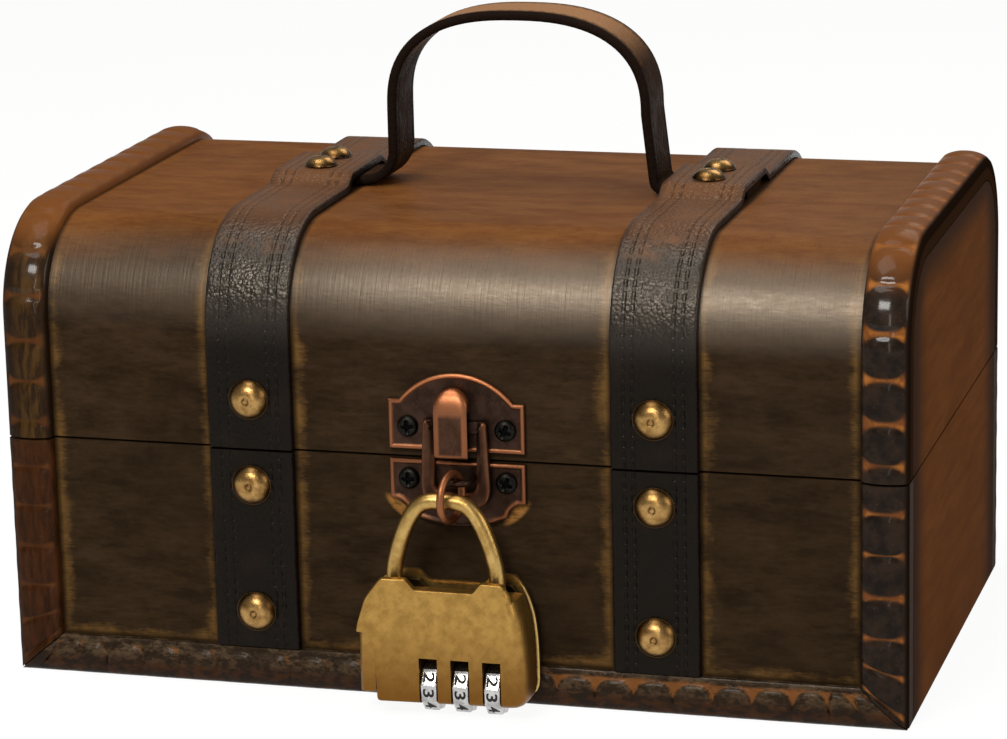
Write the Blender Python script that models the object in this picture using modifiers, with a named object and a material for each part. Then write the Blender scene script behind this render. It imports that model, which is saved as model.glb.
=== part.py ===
"""A small wooden jewelry chest with a bowed lid, leather straps and a padlock.

Metres, Z up. X runs along the chest and the front faces -Y. The origin is the
middle of the underside. Depths named "out" are measured from the face of the
boards towards the viewer.
"""
import math

import bmesh
import bpy
from mathutils import Matrix, Vector

# Clearances shared by every piece
SEAT = 0.0003
LID_GAP = 0.0006
RUNNING = 0.00025
OVERRUN = 0.002

# The chest's body
BOX_LENGTH = 0.225
BOX_DEPTH = 0.1387
PARTING_HEIGHT = 0.0603
BOX_HEIGHT = 0.11715
END_THICK = 0.008
FRONT_THICK = 0.005
FLOOR_THICK = 0.005
SKIN_THICK = 0.004
LID_BEND = 0.0230

# Bead strips
STRIP_WIDTH = 0.0114
STRIP_FOOT_HEIGHT = 0.0096
STRIP_PROUD = 0.00345
BEAD_PITCH = 0.0100
BEAD_RELIEF = 0.0011
BEAD_SHARES = ((0.0, 0.0), (0.11, 0.35), (0.22, 0.9), (0.5, 1.0), (0.78, 0.9), (0.89, 0.35))

# Leather straps and the handle
STRAP_WIDTH = 0.0213
STRAP_THICK = 0.0018
STRAP_SPACING_SHARE = 0.4484
STRAP_SHIFT = 0.00135
HANDLE_WIDTH = 0.0165
HANDLE_THICK = 0.0024
HANDLE_LEFT_INSET = 0.0087
HANDLE_RIGHT_INSET = 0.00515
HANDLE_RISE = 0.0444
HANDLE_ARCH = 0.0241
HANDLE_ROUNDNESS_SHARE = 2.5
HANDLE_FOOT_LEFT = 0.0078
HANDLE_FOOT_RIGHT = 0.0026
HANDLE_SPLAY_RIGHT = 0.0018
HANDLE_TAB = 0.0205
TAB_HUMP_MARGIN = 0.0030
TAB_HUMP_RAMP = 0.0060

# Brass nails
NAIL_HEAD_RADIUS = 0.0050
NAIL_HEAD_HEIGHT = 0.0028
TOP_NAIL_HEAD_RADIUS = 0.0042
TOP_NAIL_HEAD_HEIGHT = 0.0023
NAIL_SHANK_RADIUS = 0.0009
NAIL_BITE = 0.0028
LID_NAIL_RISE = 0.0127
BASE_UPPER_NAIL_DROP = 0.0088
BASE_LOWER_NAIL_RISE = 0.0096
TOP_NAIL_SPACING = 0.0120
TOP_NAIL_SHIFT = -0.0010

# Hasp, its plates and the staple ring
LATCH_X = 0.0030
PLATE_THICK = 0.0012
PLATE_WIDTH = 0.0340
HASP_PLATE_LIFT = 0.0021
HASP_PLATE_SIDE = 0.0124
HASP_PLATE_BOW = 0.0069
HASP_PLATE_EAR = 0.0027
STAPLE_PLATE_HEIGHT = 0.0165
STAPLE_PLATE_SCOOP_WIDTH = 0.0048
STAPLE_PLATE_SCOOP_HEIGHT = 0.0036
STAPLE_PLATE_LOBE = 0.0030
TONGUE_WIDTH = 0.0083
TONGUE_SHIFT = -0.0006
TONGUE_REACH = 0.0010
TONGUE_RISE = 0.0158
TONGUE_SHOULDER = 0.0056
TONGUE_WALL = 0.0012
TONGUE_TIP = 0.0010
HASP_THICK = 0.0016
HASP_WIDTH = 0.0178
HASP_RISE = 0.0079
HASP_LENGTH = 0.0221
HASP_BAR = 0.0034
HASP_CORNER = 0.0060
HASP_SLOT_WIDTH = 0.0107
HASP_FOOT_BAR = 0.0048
HASP_SLOT_CORNER = 0.0028
SCREW_SPACING = 0.0243
HASP_SCREW_RISE = 0.0057
STAPLE_SCREW_DROP = 0.0049
SCREW_HEAD_RADIUS = 0.00265
SCREW_HEAD_HEIGHT = 0.0011
SCREW_SHANK_RADIUS = 0.0011
EYE_WIRE_RADIUS = 0.0008
EYE_HALF_WIDTH = 0.0026
EYE_SHIFT = 0.0015
EYE_DROP = 0.0038
EYE_OUT = 0.0078
EYE_BITE = 0.0040
RING_WIRE_RADIUS = 0.00095
RING_RADIUS = 0.00565
RING_OUT = 0.0103
RING_SHIFT = 0.0010
RING_TURN_DEGREES = -11

# Hinges on the back
HINGE_SHIFT = 0.0004025
HINGE_WIDTH = 0.0220
HINGE_LEAF_HEIGHT = 0.0150
HINGE_LEAF_THICK = 0.0012
HINGE_AXIS_OUT = 0.00375
HINGE_BARREL_RADIUS = 0.0024
HINGE_PIN_RADIUS = 0.0010
HINGE_HOLE_RADIUS = 0.0012
HINGE_HOLE_SPACING = 0.0130

# Padlock
PADLOCK_X = 0.0022
PADLOCK_FOOT = 0.0030
PADLOCK_WIDTH = 0.0425
PADLOCK_HEIGHT = 0.0317
PADLOCK_OUT = 0.0110
CASE_FRONT_OUT = 0.0170
CASE_BACK_OUT = 0.0053
COVER_THICK = 0.0011
CASE_EDGE = 0.0012
SHACKLE_SHIFT = 0.0002
SHACKLE_HALF_SPAN = 0.0128
SHACKLE_RISE = 0.0180
SHACKLE_NECK = 0.0008
SHACKLE_LEAN_SHARE = 0.18
SHACKLE_SQUARENESS = 4.0
SHACKLE_RADIUS = 0.0020
SHACKLE_TOE = 0.0040
SHACKLE_HEEL = 0.0145
DIAL_RADIUS = 0.0066
DIAL_WIDTH = 0.0041
DIAL_PITCH = 0.0079
DIAL_SHIFT = 0.0048
DIAL_FOOT = 0.0004
DIAL_CHAMFER = 0.0004
DIAL_FACETS = 20
WINDOW_CLEAR = 0.0004
WINDOW_TOP = 0.0150
SPINDLE_RADIUS = 0.0010
SPINDLE_OVERHANG = 0.0016
RELEASE_WIDTH = 0.0040
RELEASE_DEPTH = 0.0084
RELEASE_TOP = 0.0200
RELEASE_FOOT = 0.0049
RELEASE_NECK = 0.0016
RELEASE_NECK_DEPTH = 0.0022
RELEASE_FLANGE = 0.0012
RELEASE_FLANGE_DEPTH = 0.0046
RELEASE_BULGE_SHARE = 0.5
CASE_OUTLINE_SHARES = (
    (-0.393, 0.0), (0.457, 0.0), (0.488, 0.04), (0.5, 0.12), (0.5, 0.30), (0.496, 0.48),
    (0.480, 0.662), (0.445, 0.814), (0.405, 0.94), (0.372, 0.994), (0.240, 1.0), (0.212, 0.975),
    (0.193, 0.921), (-0.141, 0.921), (-0.167, 0.965), (-0.193, 1.0), (-0.348, 1.0),
    (-0.395, 0.965), (-0.447, 0.836), (-0.489, 0.678), (-0.5, 0.584), (-0.5, 0.555),
    (-0.447, 0.543), (-0.412, 0.498), (-0.395, 0.426),
)

# Values worked out from the driving sizes
FACE = BOX_DEPTH / 2 - STRIP_PROUD
HALF = BOX_LENGTH / 2
BASE_TOP = PARTING_HEIGHT - LID_GAP / 2
LID_FOOT = PARTING_HEIGHT + LID_GAP / 2
SKIN_TOP = BOX_HEIGHT - STRIP_PROUD
STRAP_OUT = SEAT + STRAP_THICK
STRAP_SPACING = BOX_LENGTH * STRAP_SPACING_SHARE
STRAPS_X = {"left": STRAP_SHIFT - STRAP_SPACING / 2, "right": STRAP_SHIFT + STRAP_SPACING / 2}
HINGE_X = ((STRAP_SPACING + STRAP_WIDTH) / 2 + HALF - STRIP_WIDTH) / 2 + HINGE_SHIFT
PLATE_OUT = SEAT + PLATE_THICK
HASP_PLATE_FOOT = PARTING_HEIGHT + HASP_PLATE_LIFT
TONGUE_FOOT = HASP_PLATE_FOOT - TONGUE_REACH
TONGUE_TOP = HASP_PLATE_FOOT + TONGUE_RISE
HASP_TOP = HASP_PLATE_FOOT + HASP_RISE
EYE_HEIGHT = BASE_TOP - EYE_DROP
EYE_X = LATCH_X + EYE_SHIFT
HUMP = HANDLE_THICK + SEAT
TOP_NAIL_SEAT = SKIN_TOP + STRAP_OUT + HUMP + SEAT
HOLE_EASE = SEAT
STRAIGHT = 1e-4
BEND_STEPS = 8
ROUND_STEPS = 16

COLOURS = {
    "stained_board": ((0.085, 0.055, 0.035), 0.45, 0.0),
    "bowed_board": ((0.16, 0.11, 0.075), 0.42, 0.0),
    "bead_wood": ((0.14, 0.065, 0.028), 0.40, 0.0),
    "strap_leather": ((0.030, 0.022, 0.020), 0.38, 0.0),
    "handle_leather": ((0.060, 0.034, 0.022), 0.45, 0.0),
    "nail_brass": ((0.50, 0.36, 0.16), 0.34, 1.0),
    "latch_copper": ((0.30, 0.14, 0.09), 0.38, 1.0),
    "screw_steel": ((0.09, 0.085, 0.08), 0.42, 1.0),
    "padlock_brass": ((0.45, 0.33, 0.13), 0.36, 1.0),
    "shackle_brass": ((0.62, 0.46, 0.22), 0.28, 1.0),
    "dial_chrome": ((0.62, 0.62, 0.62), 0.25, 1.0),
}


def clear_scene():
    for obj in list(bpy.data.objects):
        bpy.data.objects.remove(obj, do_unlink=True)


def make_collections():
    found = {}
    for name in ("jewelry_chest", "cutters"):
        found[name] = bpy.data.collections.new(name)
        bpy.context.scene.collection.children.link(found[name])
    return found


def make_materials():
    made = {}
    for name, (rgb, roughness, metallic) in COLOURS.items():
        mat = bpy.data.materials.new(name)
        mat.use_nodes = True
        shader = mat.node_tree.nodes["Principled BSDF"]
        shader.inputs["Base Color"].default_value = (*rgb, 1.0)
        shader.inputs["Roughness"].default_value = roughness
        shader.inputs["Metallic"].default_value = metallic
        made[name] = mat
    return made


clear_scene()
COLLECTIONS = make_collections()
MATERIALS = make_materials()


def add_object(name, mesh, material=None, smooth=False):
    """A part when it has a material, and a cutter when it has none."""
    obj = bpy.data.objects.new(name, mesh)
    if material:
        mesh.materials.append(MATERIALS[material])
        COLLECTIONS["jewelry_chest"].objects.link(obj)
    else:
        COLLECTIONS["cutters"].objects.link(obj)
        obj.hide_render = True
        obj.display_type = "WIRE"
    if smooth:
        mesh.shade_smooth()
        mesh.set_sharp_from_angle(angle=math.radians(35))
    return obj


def mesh_of(curve, name):
    """The closed mesh of a curve object, which is removed."""
    graph = bpy.context.evaluated_depsgraph_get()
    mesh = bpy.data.meshes.new_from_object(curve.evaluated_get(graph))
    mesh.name = name
    bpy.data.objects.remove(curve, do_unlink=True)
    bm = bmesh.new()
    bm.from_mesh(mesh)
    bmesh.ops.remove_doubles(bm, verts=bm.verts, dist=1e-6)
    bmesh.ops.recalc_face_normals(bm, faces=bm.faces)
    bm.to_mesh(mesh)
    bm.free()
    return mesh


def box(name, low, high, material=None):
    bm = bmesh.new()
    bmesh.ops.create_cube(bm, size=1.0)
    low, high = Vector(low), Vector(high)
    bmesh.ops.scale(bm, vec=high - low, verts=bm.verts)
    bmesh.ops.translate(bm, vec=(low + high) / 2, verts=bm.verts)
    mesh = bpy.data.meshes.new(name)
    bm.to_mesh(mesh)
    bm.free()
    return add_object(name, mesh, material)


AXES = {
    "x": Matrix(((0, 0, 1, 0), (1, 0, 0, 0), (0, 1, 0, 0), (0, 0, 0, 1))),
    "y": Matrix(((1, 0, 0, 0), (0, 0, -1, 0), (0, 1, 0, 0), (0, 0, 0, 1))),
    "z": Matrix.Identity(4),
}


def lean(outline):
    """The outline without the points that lie on its straight stretches."""
    kept = []
    for i, place in enumerate(outline):
        before, here = Vector(outline[i - 1]), Vector(place)
        after = Vector(outline[(i + 1) % len(outline)])
        first, second = (here - before).normalized(), (after - here).normalized()
        if abs(first.x * second.y - first.y * second.x) > STRAIGHT or first.dot(second) < 0:
            kept.append(place)
    return kept


def drawn_out(name, outline, low, high):
    """One flat face extruded from a low to a high level."""
    bm = bmesh.new()
    face = bm.faces.new([bm.verts.new((x, y, low)) for x, y in outline])
    grown = bmesh.ops.extrude_face_region(bm, geom=[face])
    top = [v for v in grown["geom"] if isinstance(v, bmesh.types.BMVert)]
    bmesh.ops.translate(bm, vec=(0, 0, high - low), verts=top)
    bm.faces.ensure_lookup_table()
    bmesh.ops.triangulate(bm, faces=[f for f in bm.faces if len(f.verts) > 4])
    bmesh.ops.recalc_face_normals(bm, faces=bm.faces)
    mesh = bpy.data.meshes.new(name)
    bm.to_mesh(mesh)
    bm.free()
    return mesh


def prism(name, outlines, axis, low, high, material=None, edge=0.0, smooth=False):
    """Flat outlines, the first one outside and the rest holes, drawn out along an axis."""
    if len(outlines) == 1 and not edge:
        span = (-high, -low) if axis == "y" else (low, high)
        mesh = drawn_out(name, lean(outlines[0]), *span)
        mesh.transform(AXES[axis])
        return add_object(name, mesh, material, smooth)
    data = bpy.data.curves.new(name + "_outline", "CURVE")
    data.dimensions = "2D"
    data.fill_mode = "BOTH"
    data.extrude = (high - low) / 2 - edge
    if edge:
        data.bevel_depth = edge
        data.bevel_resolution = 1
        data.offset = -edge
    for outline in map(lean, outlines):
        spline = data.splines.new("POLY")
        spline.points.add(len(outline) - 1)
        for point, place in zip(spline.points, outline):
            point.co = (place[0], place[1], 0.0, 1.0)
        spline.use_cyclic_u = True
    curve = bpy.data.objects.new(name + "_outline", data)
    COLLECTIONS["cutters"].objects.link(curve)
    mesh = mesh_of(curve, name)
    middle = (low + high) / 2
    shift = {"x": (middle, 0, 0), "y": (0, middle, 0), "z": (0, 0, middle)}[axis]
    mesh.transform(Matrix.Translation(shift) @ AXES[axis])
    return add_object(name, mesh, material, smooth)


def tube(name, points, radius, material, resolution=3):
    data = bpy.data.curves.new(name + "_line", "CURVE")
    data.dimensions = "3D"
    data.bevel_depth = radius
    data.bevel_resolution = resolution
    data.use_fill_caps = True
    spline = data.splines.new("POLY")
    spline.points.add(len(points) - 1)
    for point, place in zip(spline.points, points):
        point.co = (*place, 1.0)
    curve = bpy.data.objects.new(name + "_line", data)
    COLLECTIONS["cutters"].objects.link(curve)
    return add_object(name, mesh_of(curve, name), material, smooth=True)


TURNS = {
    "front": Matrix.Rotation(math.pi / 2, 4, "X"),
    "back": Matrix.Rotation(-math.pi / 2, 4, "X"),
    "top": Matrix.Identity(4),
    "side": Matrix.Rotation(math.pi / 2, 4, "Y"),
}


def turned(name, profile, place, facing, material, steps=ROUND_STEPS, closed=False):
    """A profile of (radius, height), from the top down its outer side, spun round."""
    mesh = bpy.data.meshes.new(name)
    verts = [(radius, 0.0, height) for radius, height in profile]
    edges = [(i, i + 1) for i in range(len(verts) - 1)]
    if closed:
        edges.append((len(verts) - 1, 0))
    mesh.from_pydata(verts, edges, [])
    obj = add_object(name, mesh, material)
    obj.matrix_world = Matrix.Translation(place) @ TURNS[facing]
    spin = obj.modifiers.new("turn", "SCREW")
    spin.axis = "Z"
    spin.steps = steps
    spin.render_steps = steps
    spin.use_merge_vertices = True
    spin.merge_threshold = 1e-6
    spin.use_smooth_shade = True
    return obj


def rod_cutter(name, rods, segments=10):
    """One cutter of several rods, each given by its two ends and its radius."""
    bm = bmesh.new()
    for start, end, radius in rods:
        start, end = Vector(start), Vector(end)
        turn = (end - start).to_track_quat("Z", "Y").to_matrix().to_4x4()
        place = Matrix.Translation((start + end) / 2) @ turn
        bmesh.ops.create_cone(bm, cap_ends=True, segments=segments, radius1=radius,
                              radius2=radius, depth=(end - start).length, matrix=place)
    mesh = bpy.data.meshes.new(name)
    bm.to_mesh(mesh)
    bm.free()
    return add_object(name, mesh)


def combine(obj, other, operation="DIFFERENCE"):
    change = obj.modifiers.new(other.name, "BOOLEAN")
    change.operation = operation
    change.solver = "EXACT"
    change.object = other
    return obj


def arc(centre, radius, start, end, steps):
    """Points along a round stretch, in degrees, both ends included."""
    turns = [math.radians(start + (end - start) * i / steps) for i in range(steps + 1)]
    return [(centre[0] + radius * math.cos(t), centre[1] + radius * math.sin(t)) for t in turns]


def circle(centre, radius, steps=ROUND_STEPS):
    return arc(centre, radius, 0, 360, steps)[:-1]


def band(stations, inner, outer):
    """The outline between two offsets of a line; each station is (place, normal, distance)."""
    near = [(p[0] + n[0] * inner(s), p[1] + n[1] * inner(s)) for p, n, s in stations]
    far = [(p[0] + n[0] * outer(s), p[1] + n[1] * outer(s)) for p, n, s in stations]
    return far + near[::-1]


def fixed(value):
    return lambda s: value


# The lid's section: up the front, over the top and down the back
LID_RISE = SKIN_TOP - LID_BEND - LID_FOOT
LID_ARC = LID_BEND * math.pi / 2
LID_FLAT = 2 * (FACE - LID_BEND)
LID_ROUND = 2 * (LID_RISE + LID_ARC) + LID_FLAT


def lid_at(s):
    """Place and outward normal in (y, z), a distance s along the lid's outer face."""
    if s > LID_ROUND / 2:
        (y, z), (ny, nz), _ = lid_at(LID_ROUND - s)
        return (-y, z), (-ny, nz), s
    if s <= LID_RISE:
        return (-FACE, LID_FOOT + s), (-1.0, 0.0), s
    if s <= LID_RISE + LID_ARC:
        a = (s - LID_RISE) / LID_BEND
        return ((-FACE + LID_BEND * (1 - math.cos(a)), SKIN_TOP - LID_BEND * (1 - math.sin(a))),
                (-math.cos(a), math.sin(a)), s)
    return (-FACE + LID_BEND + s - LID_RISE - LID_ARC, SKIN_TOP), (0.0, 1.0), s


def lid_distances(extra=()):
    bend = [LID_RISE + LID_ARC * i / BEND_STEPS for i in range(BEND_STEPS + 1)]
    half = [0.0] + bend
    marks = half + [LID_ROUND - s for s in half] + list(extra)
    return sorted(set(marks))


def bead_marks(length):
    """Distances along a bead strip, with the height of the carving at each, from 0 to 1."""
    beads = max(1, round(length / BEAD_PITCH))
    pitch = length / beads
    marks = [((i + along) * pitch, rise) for i in range(beads) for along, rise in BEAD_SHARES]
    return marks + [(length, 0.0)]


def carved(marks):
    heights = dict(marks)
    return lambda s: STRIP_PROUD - BEAD_RELIEF * (1 - heights[s])


# Boards of the base
def base_boards():
    inner = FACE - FRONT_THICK - SEAT
    front = box("base_front_board", (-HALF, -FACE, 0), (HALF, -FACE + FRONT_THICK, BASE_TOP),
                "stained_board")
    back = box("base_back_board", (-HALF, FACE - FRONT_THICK, 0), (HALF, FACE, BASE_TOP),
               "stained_board")
    for side, sign in (("left", -1), ("right", 1)):
        xs = sorted((sign * HALF, sign * (HALF - END_THICK)))
        box(f"base_{side}_end", (xs[0], -inner, 0), (xs[1], inner, BASE_TOP), "stained_board")
    reach = HALF - END_THICK - SEAT
    box("base_bottom_board", (-reach, -inner, 0), (reach, inner, FLOOR_THICK), "stained_board")
    return front, back


# The lid: one thin board bent over two end boards
def lid_boards():
    stations = [lid_at(s) for s in lid_distances()]
    skin = prism("lid_bowed_board", [band(stations, fixed(-SKIN_THICK), fixed(0.0))], "x",
                 -HALF, HALF, "bowed_board", smooth=True)
    inset = -SKIN_THICK - SEAT
    outline = [(p[0] + n[0] * inset, p[1] + n[1] * inset) for p, n, s in stations]
    for side, sign in (("left", -1), ("right", 1)):
        xs = sorted((sign * HALF, sign * (HALF - END_THICK)))
        prism(f"lid_{side}_end", [outline], "x", xs[0], xs[1], "stained_board")
    return skin


def mitre_ends(sign, shift):
    """Points past the inner and outer ends of a corner's mitre line, moved up by a shift."""
    slope = STRIP_FOOT_HEIGHT / STRIP_WIDTH
    inner = (sign * (HALF - STRIP_WIDTH - OVERRUN), (STRIP_WIDTH + OVERRUN) * slope + shift)
    return [inner, (sign * (HALF + OVERRUN), shift - OVERRUN * slope)]


# Carved bead strips on every front and back edge
def bead_strips():
    lid_marks = bead_marks(LID_ROUND)
    lid_line = [lid_at(s) for s, _ in lid_marks]
    upright_marks = bead_marks(BASE_TOP)
    foot_marks = bead_marks(BOX_LENGTH)
    for side, sign in (("left", -1), ("right", 1)):
        xs = sorted((sign * HALF, sign * (HALF - STRIP_WIDTH)))
        prism(f"lid_{side}_bead_strip", [band(lid_line, fixed(SEAT), carved(lid_marks))], "x",
              xs[0], xs[1], "bead_wood", smooth=True)
        for face, out in (("front", -1), ("back", 1)):
            line = [((out * FACE, s), (out, 0.0), s) for s, _ in upright_marks]
            strip = prism(f"base_{face}_{side}_bead_strip",
                          [band(line, fixed(SEAT), carved(upright_marks))], "x",
                          xs[0], xs[1], "bead_wood", smooth=True)
            low = mitre_ends(sign, SEAT / 2)
            keep = low + [(low[1][0], BASE_TOP + OVERRUN), (low[0][0], BASE_TOP + OVERRUN)]
            ys = sorted((out * (FACE - OVERRUN), out * (FACE + STRIP_PROUD + OVERRUN)))
            combine(strip, prism(f"{face}_{side}_mitre", [keep], "y", *ys), "INTERSECT")
    for face, out in (("front", -1), ("back", 1)):
        line = [((s - HALF, out * FACE), (0.0, out), s) for s, _ in foot_marks]
        strip = prism(f"base_{face}_foot_bead_strip",
                      [band(line, fixed(SEAT), carved(foot_marks))], "z",
                      0.0, STRIP_FOOT_HEIGHT, "bead_wood", smooth=True)
        left, right = mitre_ends(-1, -SEAT / 2), mitre_ends(1, -SEAT / 2)
        below = -2 * OVERRUN
        keep = [(left[1][0], below), left[1], left[0], right[0], right[1], (right[1][0], below)]
        ys = sorted((out * (FACE - OVERRUN), out * (FACE + STRIP_PROUD + OVERRUN)))
        combine(strip, prism(f"{face}_foot_mitres", [keep], "y", *ys), "INTERSECT")


# Leather straps, each cut through at the parting line
def straps():
    hump_flat = HANDLE_WIDTH / 2 + TAB_HUMP_MARGIN
    top_start = LID_RISE + LID_ARC + FACE - LID_BEND + TOP_NAIL_SHIFT
    ramp_marks = [(-hump_flat - TAB_HUMP_RAMP, 0.0), (-hump_flat, 1.0), (hump_flat, 1.0),
                  (hump_flat + TAB_HUMP_RAMP, 0.0)]
    lift = {top_start + along: rise for along, rise in ramp_marks}
    inner = lambda s: SEAT + HUMP * lift.get(s, 0.0)
    outer = lambda s: inner(s) + STRAP_THICK
    line = [lid_at(s) for s in lid_distances(lift)]
    made = {}
    for side, middle in STRAPS_X.items():
        low, high = middle - STRAP_WIDTH / 2, middle + STRAP_WIDTH / 2
        made[f"lid_{side}"] = prism(f"lid_{side}_strap", [band(line, inner, outer)], "x",
                                    low, high, "strap_leather", smooth=True)
        for face, out in (("front", -1), ("back", 1)):
            ys = sorted((out * (FACE + SEAT), out * (FACE + STRAP_OUT)))
            made[f"{face}_{side}"] = box(f"base_{face}_{side}_strap",
                                         (low, ys[0], STRIP_FOOT_HEIGHT + SEAT),
                                         (high, ys[1], BASE_TOP), "strap_leather")
    return made


# The handle: one leather strip whose ends are nailed down under the lid's straps
def handle():
    foot = SKIN_TOP + SEAT + HANDLE_THICK / 2
    low = STRAPS_X["left"] + STRAP_WIDTH / 2 + HANDLE_LEFT_INSET
    high = STRAPS_X["right"] - STRAP_WIDTH / 2 - HANDLE_RIGHT_INSET
    middle, span = (low + high) / 2, (high - low) / 2
    spring = SKIN_TOP + HANDLE_RISE - HANDLE_ARCH
    power = 2 / HANDLE_ROUNDNESS_SHARE
    arch = []
    for i in range(25):
        t = math.pi * (1 - i / 24)
        across = math.copysign(abs(math.cos(t)) ** power, math.cos(t))
        arch.append((middle + span * across, spring + HANDLE_ARCH * abs(math.sin(t)) ** power))
    left = arc((low - HANDLE_FOOT_LEFT, foot + HANDLE_FOOT_LEFT), HANDLE_FOOT_LEFT, -90, 0, 6)
    right_x = high + HANDLE_SPLAY_RIGHT
    right = arc((right_x + HANDLE_FOOT_RIGHT, foot + HANDLE_FOOT_RIGHT), HANDLE_FOOT_RIGHT,
                180, 270, 6)
    tab_left = STRAPS_X["left"] + STRAP_WIDTH / 2 - HANDLE_TAB
    tab_right = STRAPS_X["right"] - STRAP_WIDTH / 2 + HANDLE_TAB
    line = [(tab_left, foot)] + left + arch + right + [(tab_right, foot)]
    stations = []
    for i, place in enumerate(line):
        before, after = line[max(i - 1, 0)], line[min(i + 1, len(line) - 1)]
        along = Vector((after[0] - before[0], after[1] - before[1])).normalized()
        stations.append((place, (-along.y, along.x), 0.0))
    outline = band(stations, fixed(-HANDLE_THICK / 2), fixed(HANDLE_THICK / 2))
    return prism("carry_handle", [outline], "y", -HANDLE_WIDTH / 2, HANDLE_WIDTH / 2,
                 "handle_leather", smooth=True)


def nail_profile(radius, height, shank):
    """A domed head over a plain shank, its seat at height 0."""
    dome = [(radius * math.sin(a), height * math.cos(a))
            for a in (math.radians(d) for d in (0, 22, 45, 68, 90))]
    return dome + [(NAIL_SHANK_RADIUS, 0.0), (NAIL_SHANK_RADIUS, -shank), (0.0, -shank)]


# Brass nails through the straps into the boards
def nails(boards, leathers, grip):
    plain = nail_profile(NAIL_HEAD_RADIUS, NAIL_HEAD_HEIGHT, STRAP_OUT + SEAT + NAIL_BITE)
    tall = nail_profile(TOP_NAIL_HEAD_RADIUS, TOP_NAIL_HEAD_HEIGHT,
                        TOP_NAIL_SEAT - SKIN_TOP + NAIL_BITE)
    hole = NAIL_SHANK_RADIUS + HOLE_EASE
    holes = {key: [] for key in (*boards, *leathers)}
    seat = FACE + STRAP_OUT + SEAT
    deep = FACE - NAIL_BITE - HOLE_EASE
    for side, x in STRAPS_X.items():
        lid_z, upper_z = PARTING_HEIGHT + LID_NAIL_RISE, PARTING_HEIGHT - BASE_UPPER_NAIL_DROP
        lower_z = STRIP_FOOT_HEIGHT + BASE_LOWER_NAIL_RISE
        rows = [("lid_front", "front", lid_z, "lid", f"lid_{side}"),
                ("base_front_upper", "front", upper_z, "front", f"front_{side}"),
                ("base_front_lower", "front", lower_z, "front", f"front_{side}"),
                ("lid_back", "back", lid_z, "lid", f"lid_{side}"),
                ("base_back", "back", upper_z, "back", f"back_{side}")]
        for label, face, z, board, leather in rows:
            out = -1 if face == "front" else 1
            turned(f"{label}_{side}_nail", plain, (x, out * seat, z), face, "nail_brass", 14)
            rod = ((x, out * deep, z), (x, out * (seat + OVERRUN), z), hole)
            holes[board].append(rod)
            holes[leather].append(rod)
        for label, along in (("front", -0.5), ("rear", 0.5)):
            y = TOP_NAIL_SHIFT + along * TOP_NAIL_SPACING
            turned(f"lid_top_{label}_{side}_nail", tall, (x, y, TOP_NAIL_SEAT), "top",
                   "nail_brass", 14)
            rod = ((x, y, SKIN_TOP - NAIL_BITE - HOLE_EASE), (x, y, TOP_NAIL_SEAT + OVERRUN), hole)
            holes["lid"].append(rod)
            holes[f"lid_{side}"].append(rod)
            holes["grip"] = holes.get("grip", []) + [rod]
    for key, obj in leathers.items():
        combine(obj, rod_cutter(f"{key}_strap_holes", holes[key], 8))
    combine(grip, rod_cutter("handle_holes", holes["grip"], 8))
    return holes


def screw_profile(shank):
    r, h = SCREW_HEAD_RADIUS, SCREW_HEAD_HEIGHT
    return [(0.0, h), (r * 0.6, h), (r * 0.92, h * 0.72), (r, h * 0.3), (r, 0.0),
            (SCREW_SHANK_RADIUS, 0.0), (SCREW_SHANK_RADIUS, -shank), (0.0, -shank)]


def hasp_plate_outline():
    """Straight foot and sides, two small ears and a bowed top between them."""
    half = PLATE_WIDTH / 2
    spring = half - HASP_PLATE_EAR
    low = HASP_PLATE_FOOT
    ear = low + HASP_PLATE_SIDE
    radius = (spring ** 2 + HASP_PLATE_BOW ** 2) / (2 * HASP_PLATE_BOW)
    reach = math.degrees(math.asin(spring / radius))
    centre = (LATCH_X, ear + HASP_PLATE_BOW - radius)
    bow = arc(centre, radius, 90 - reach, 90 + reach, 14)
    return ([(LATCH_X - half, low), (LATCH_X + half, low), (LATCH_X + half, ear)] + bow
            + [(LATCH_X - half, ear)])


def staple_plate_outline():
    """A square top, two scooped lower corners and a shallow lobe between them."""
    half = PLATE_WIDTH / 2
    top, low = BASE_TOP, BASE_TOP - STAPLE_PLATE_HEIGHT
    width, height = STAPLE_PLATE_SCOOP_WIDTH, STAPLE_PLATE_SCOOP_HEIGHT
    spring = low + STAPLE_PLATE_LOBE
    scoop = [(half - width * math.sin(a), spring + height * math.cos(a))
             for a in (math.pi / 2 * i / 6 for i in range(7))]
    reach = half - width
    radius = (reach ** 2 + STAPLE_PLATE_LOBE ** 2) / (2 * STAPLE_PLATE_LOBE)
    turn = math.degrees(math.asin(reach / radius))
    lobe = arc((LATCH_X, low + radius), radius, 270 - turn, 270 + turn, 12)[1:-1]
    right = [(LATCH_X + x, z) for x, z in scoop]
    left = [(LATCH_X - x, z) for x, z in scoop]
    return [(LATCH_X - half, top)] + left + lobe + right[::-1] + [(LATCH_X + half, top)]


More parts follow.
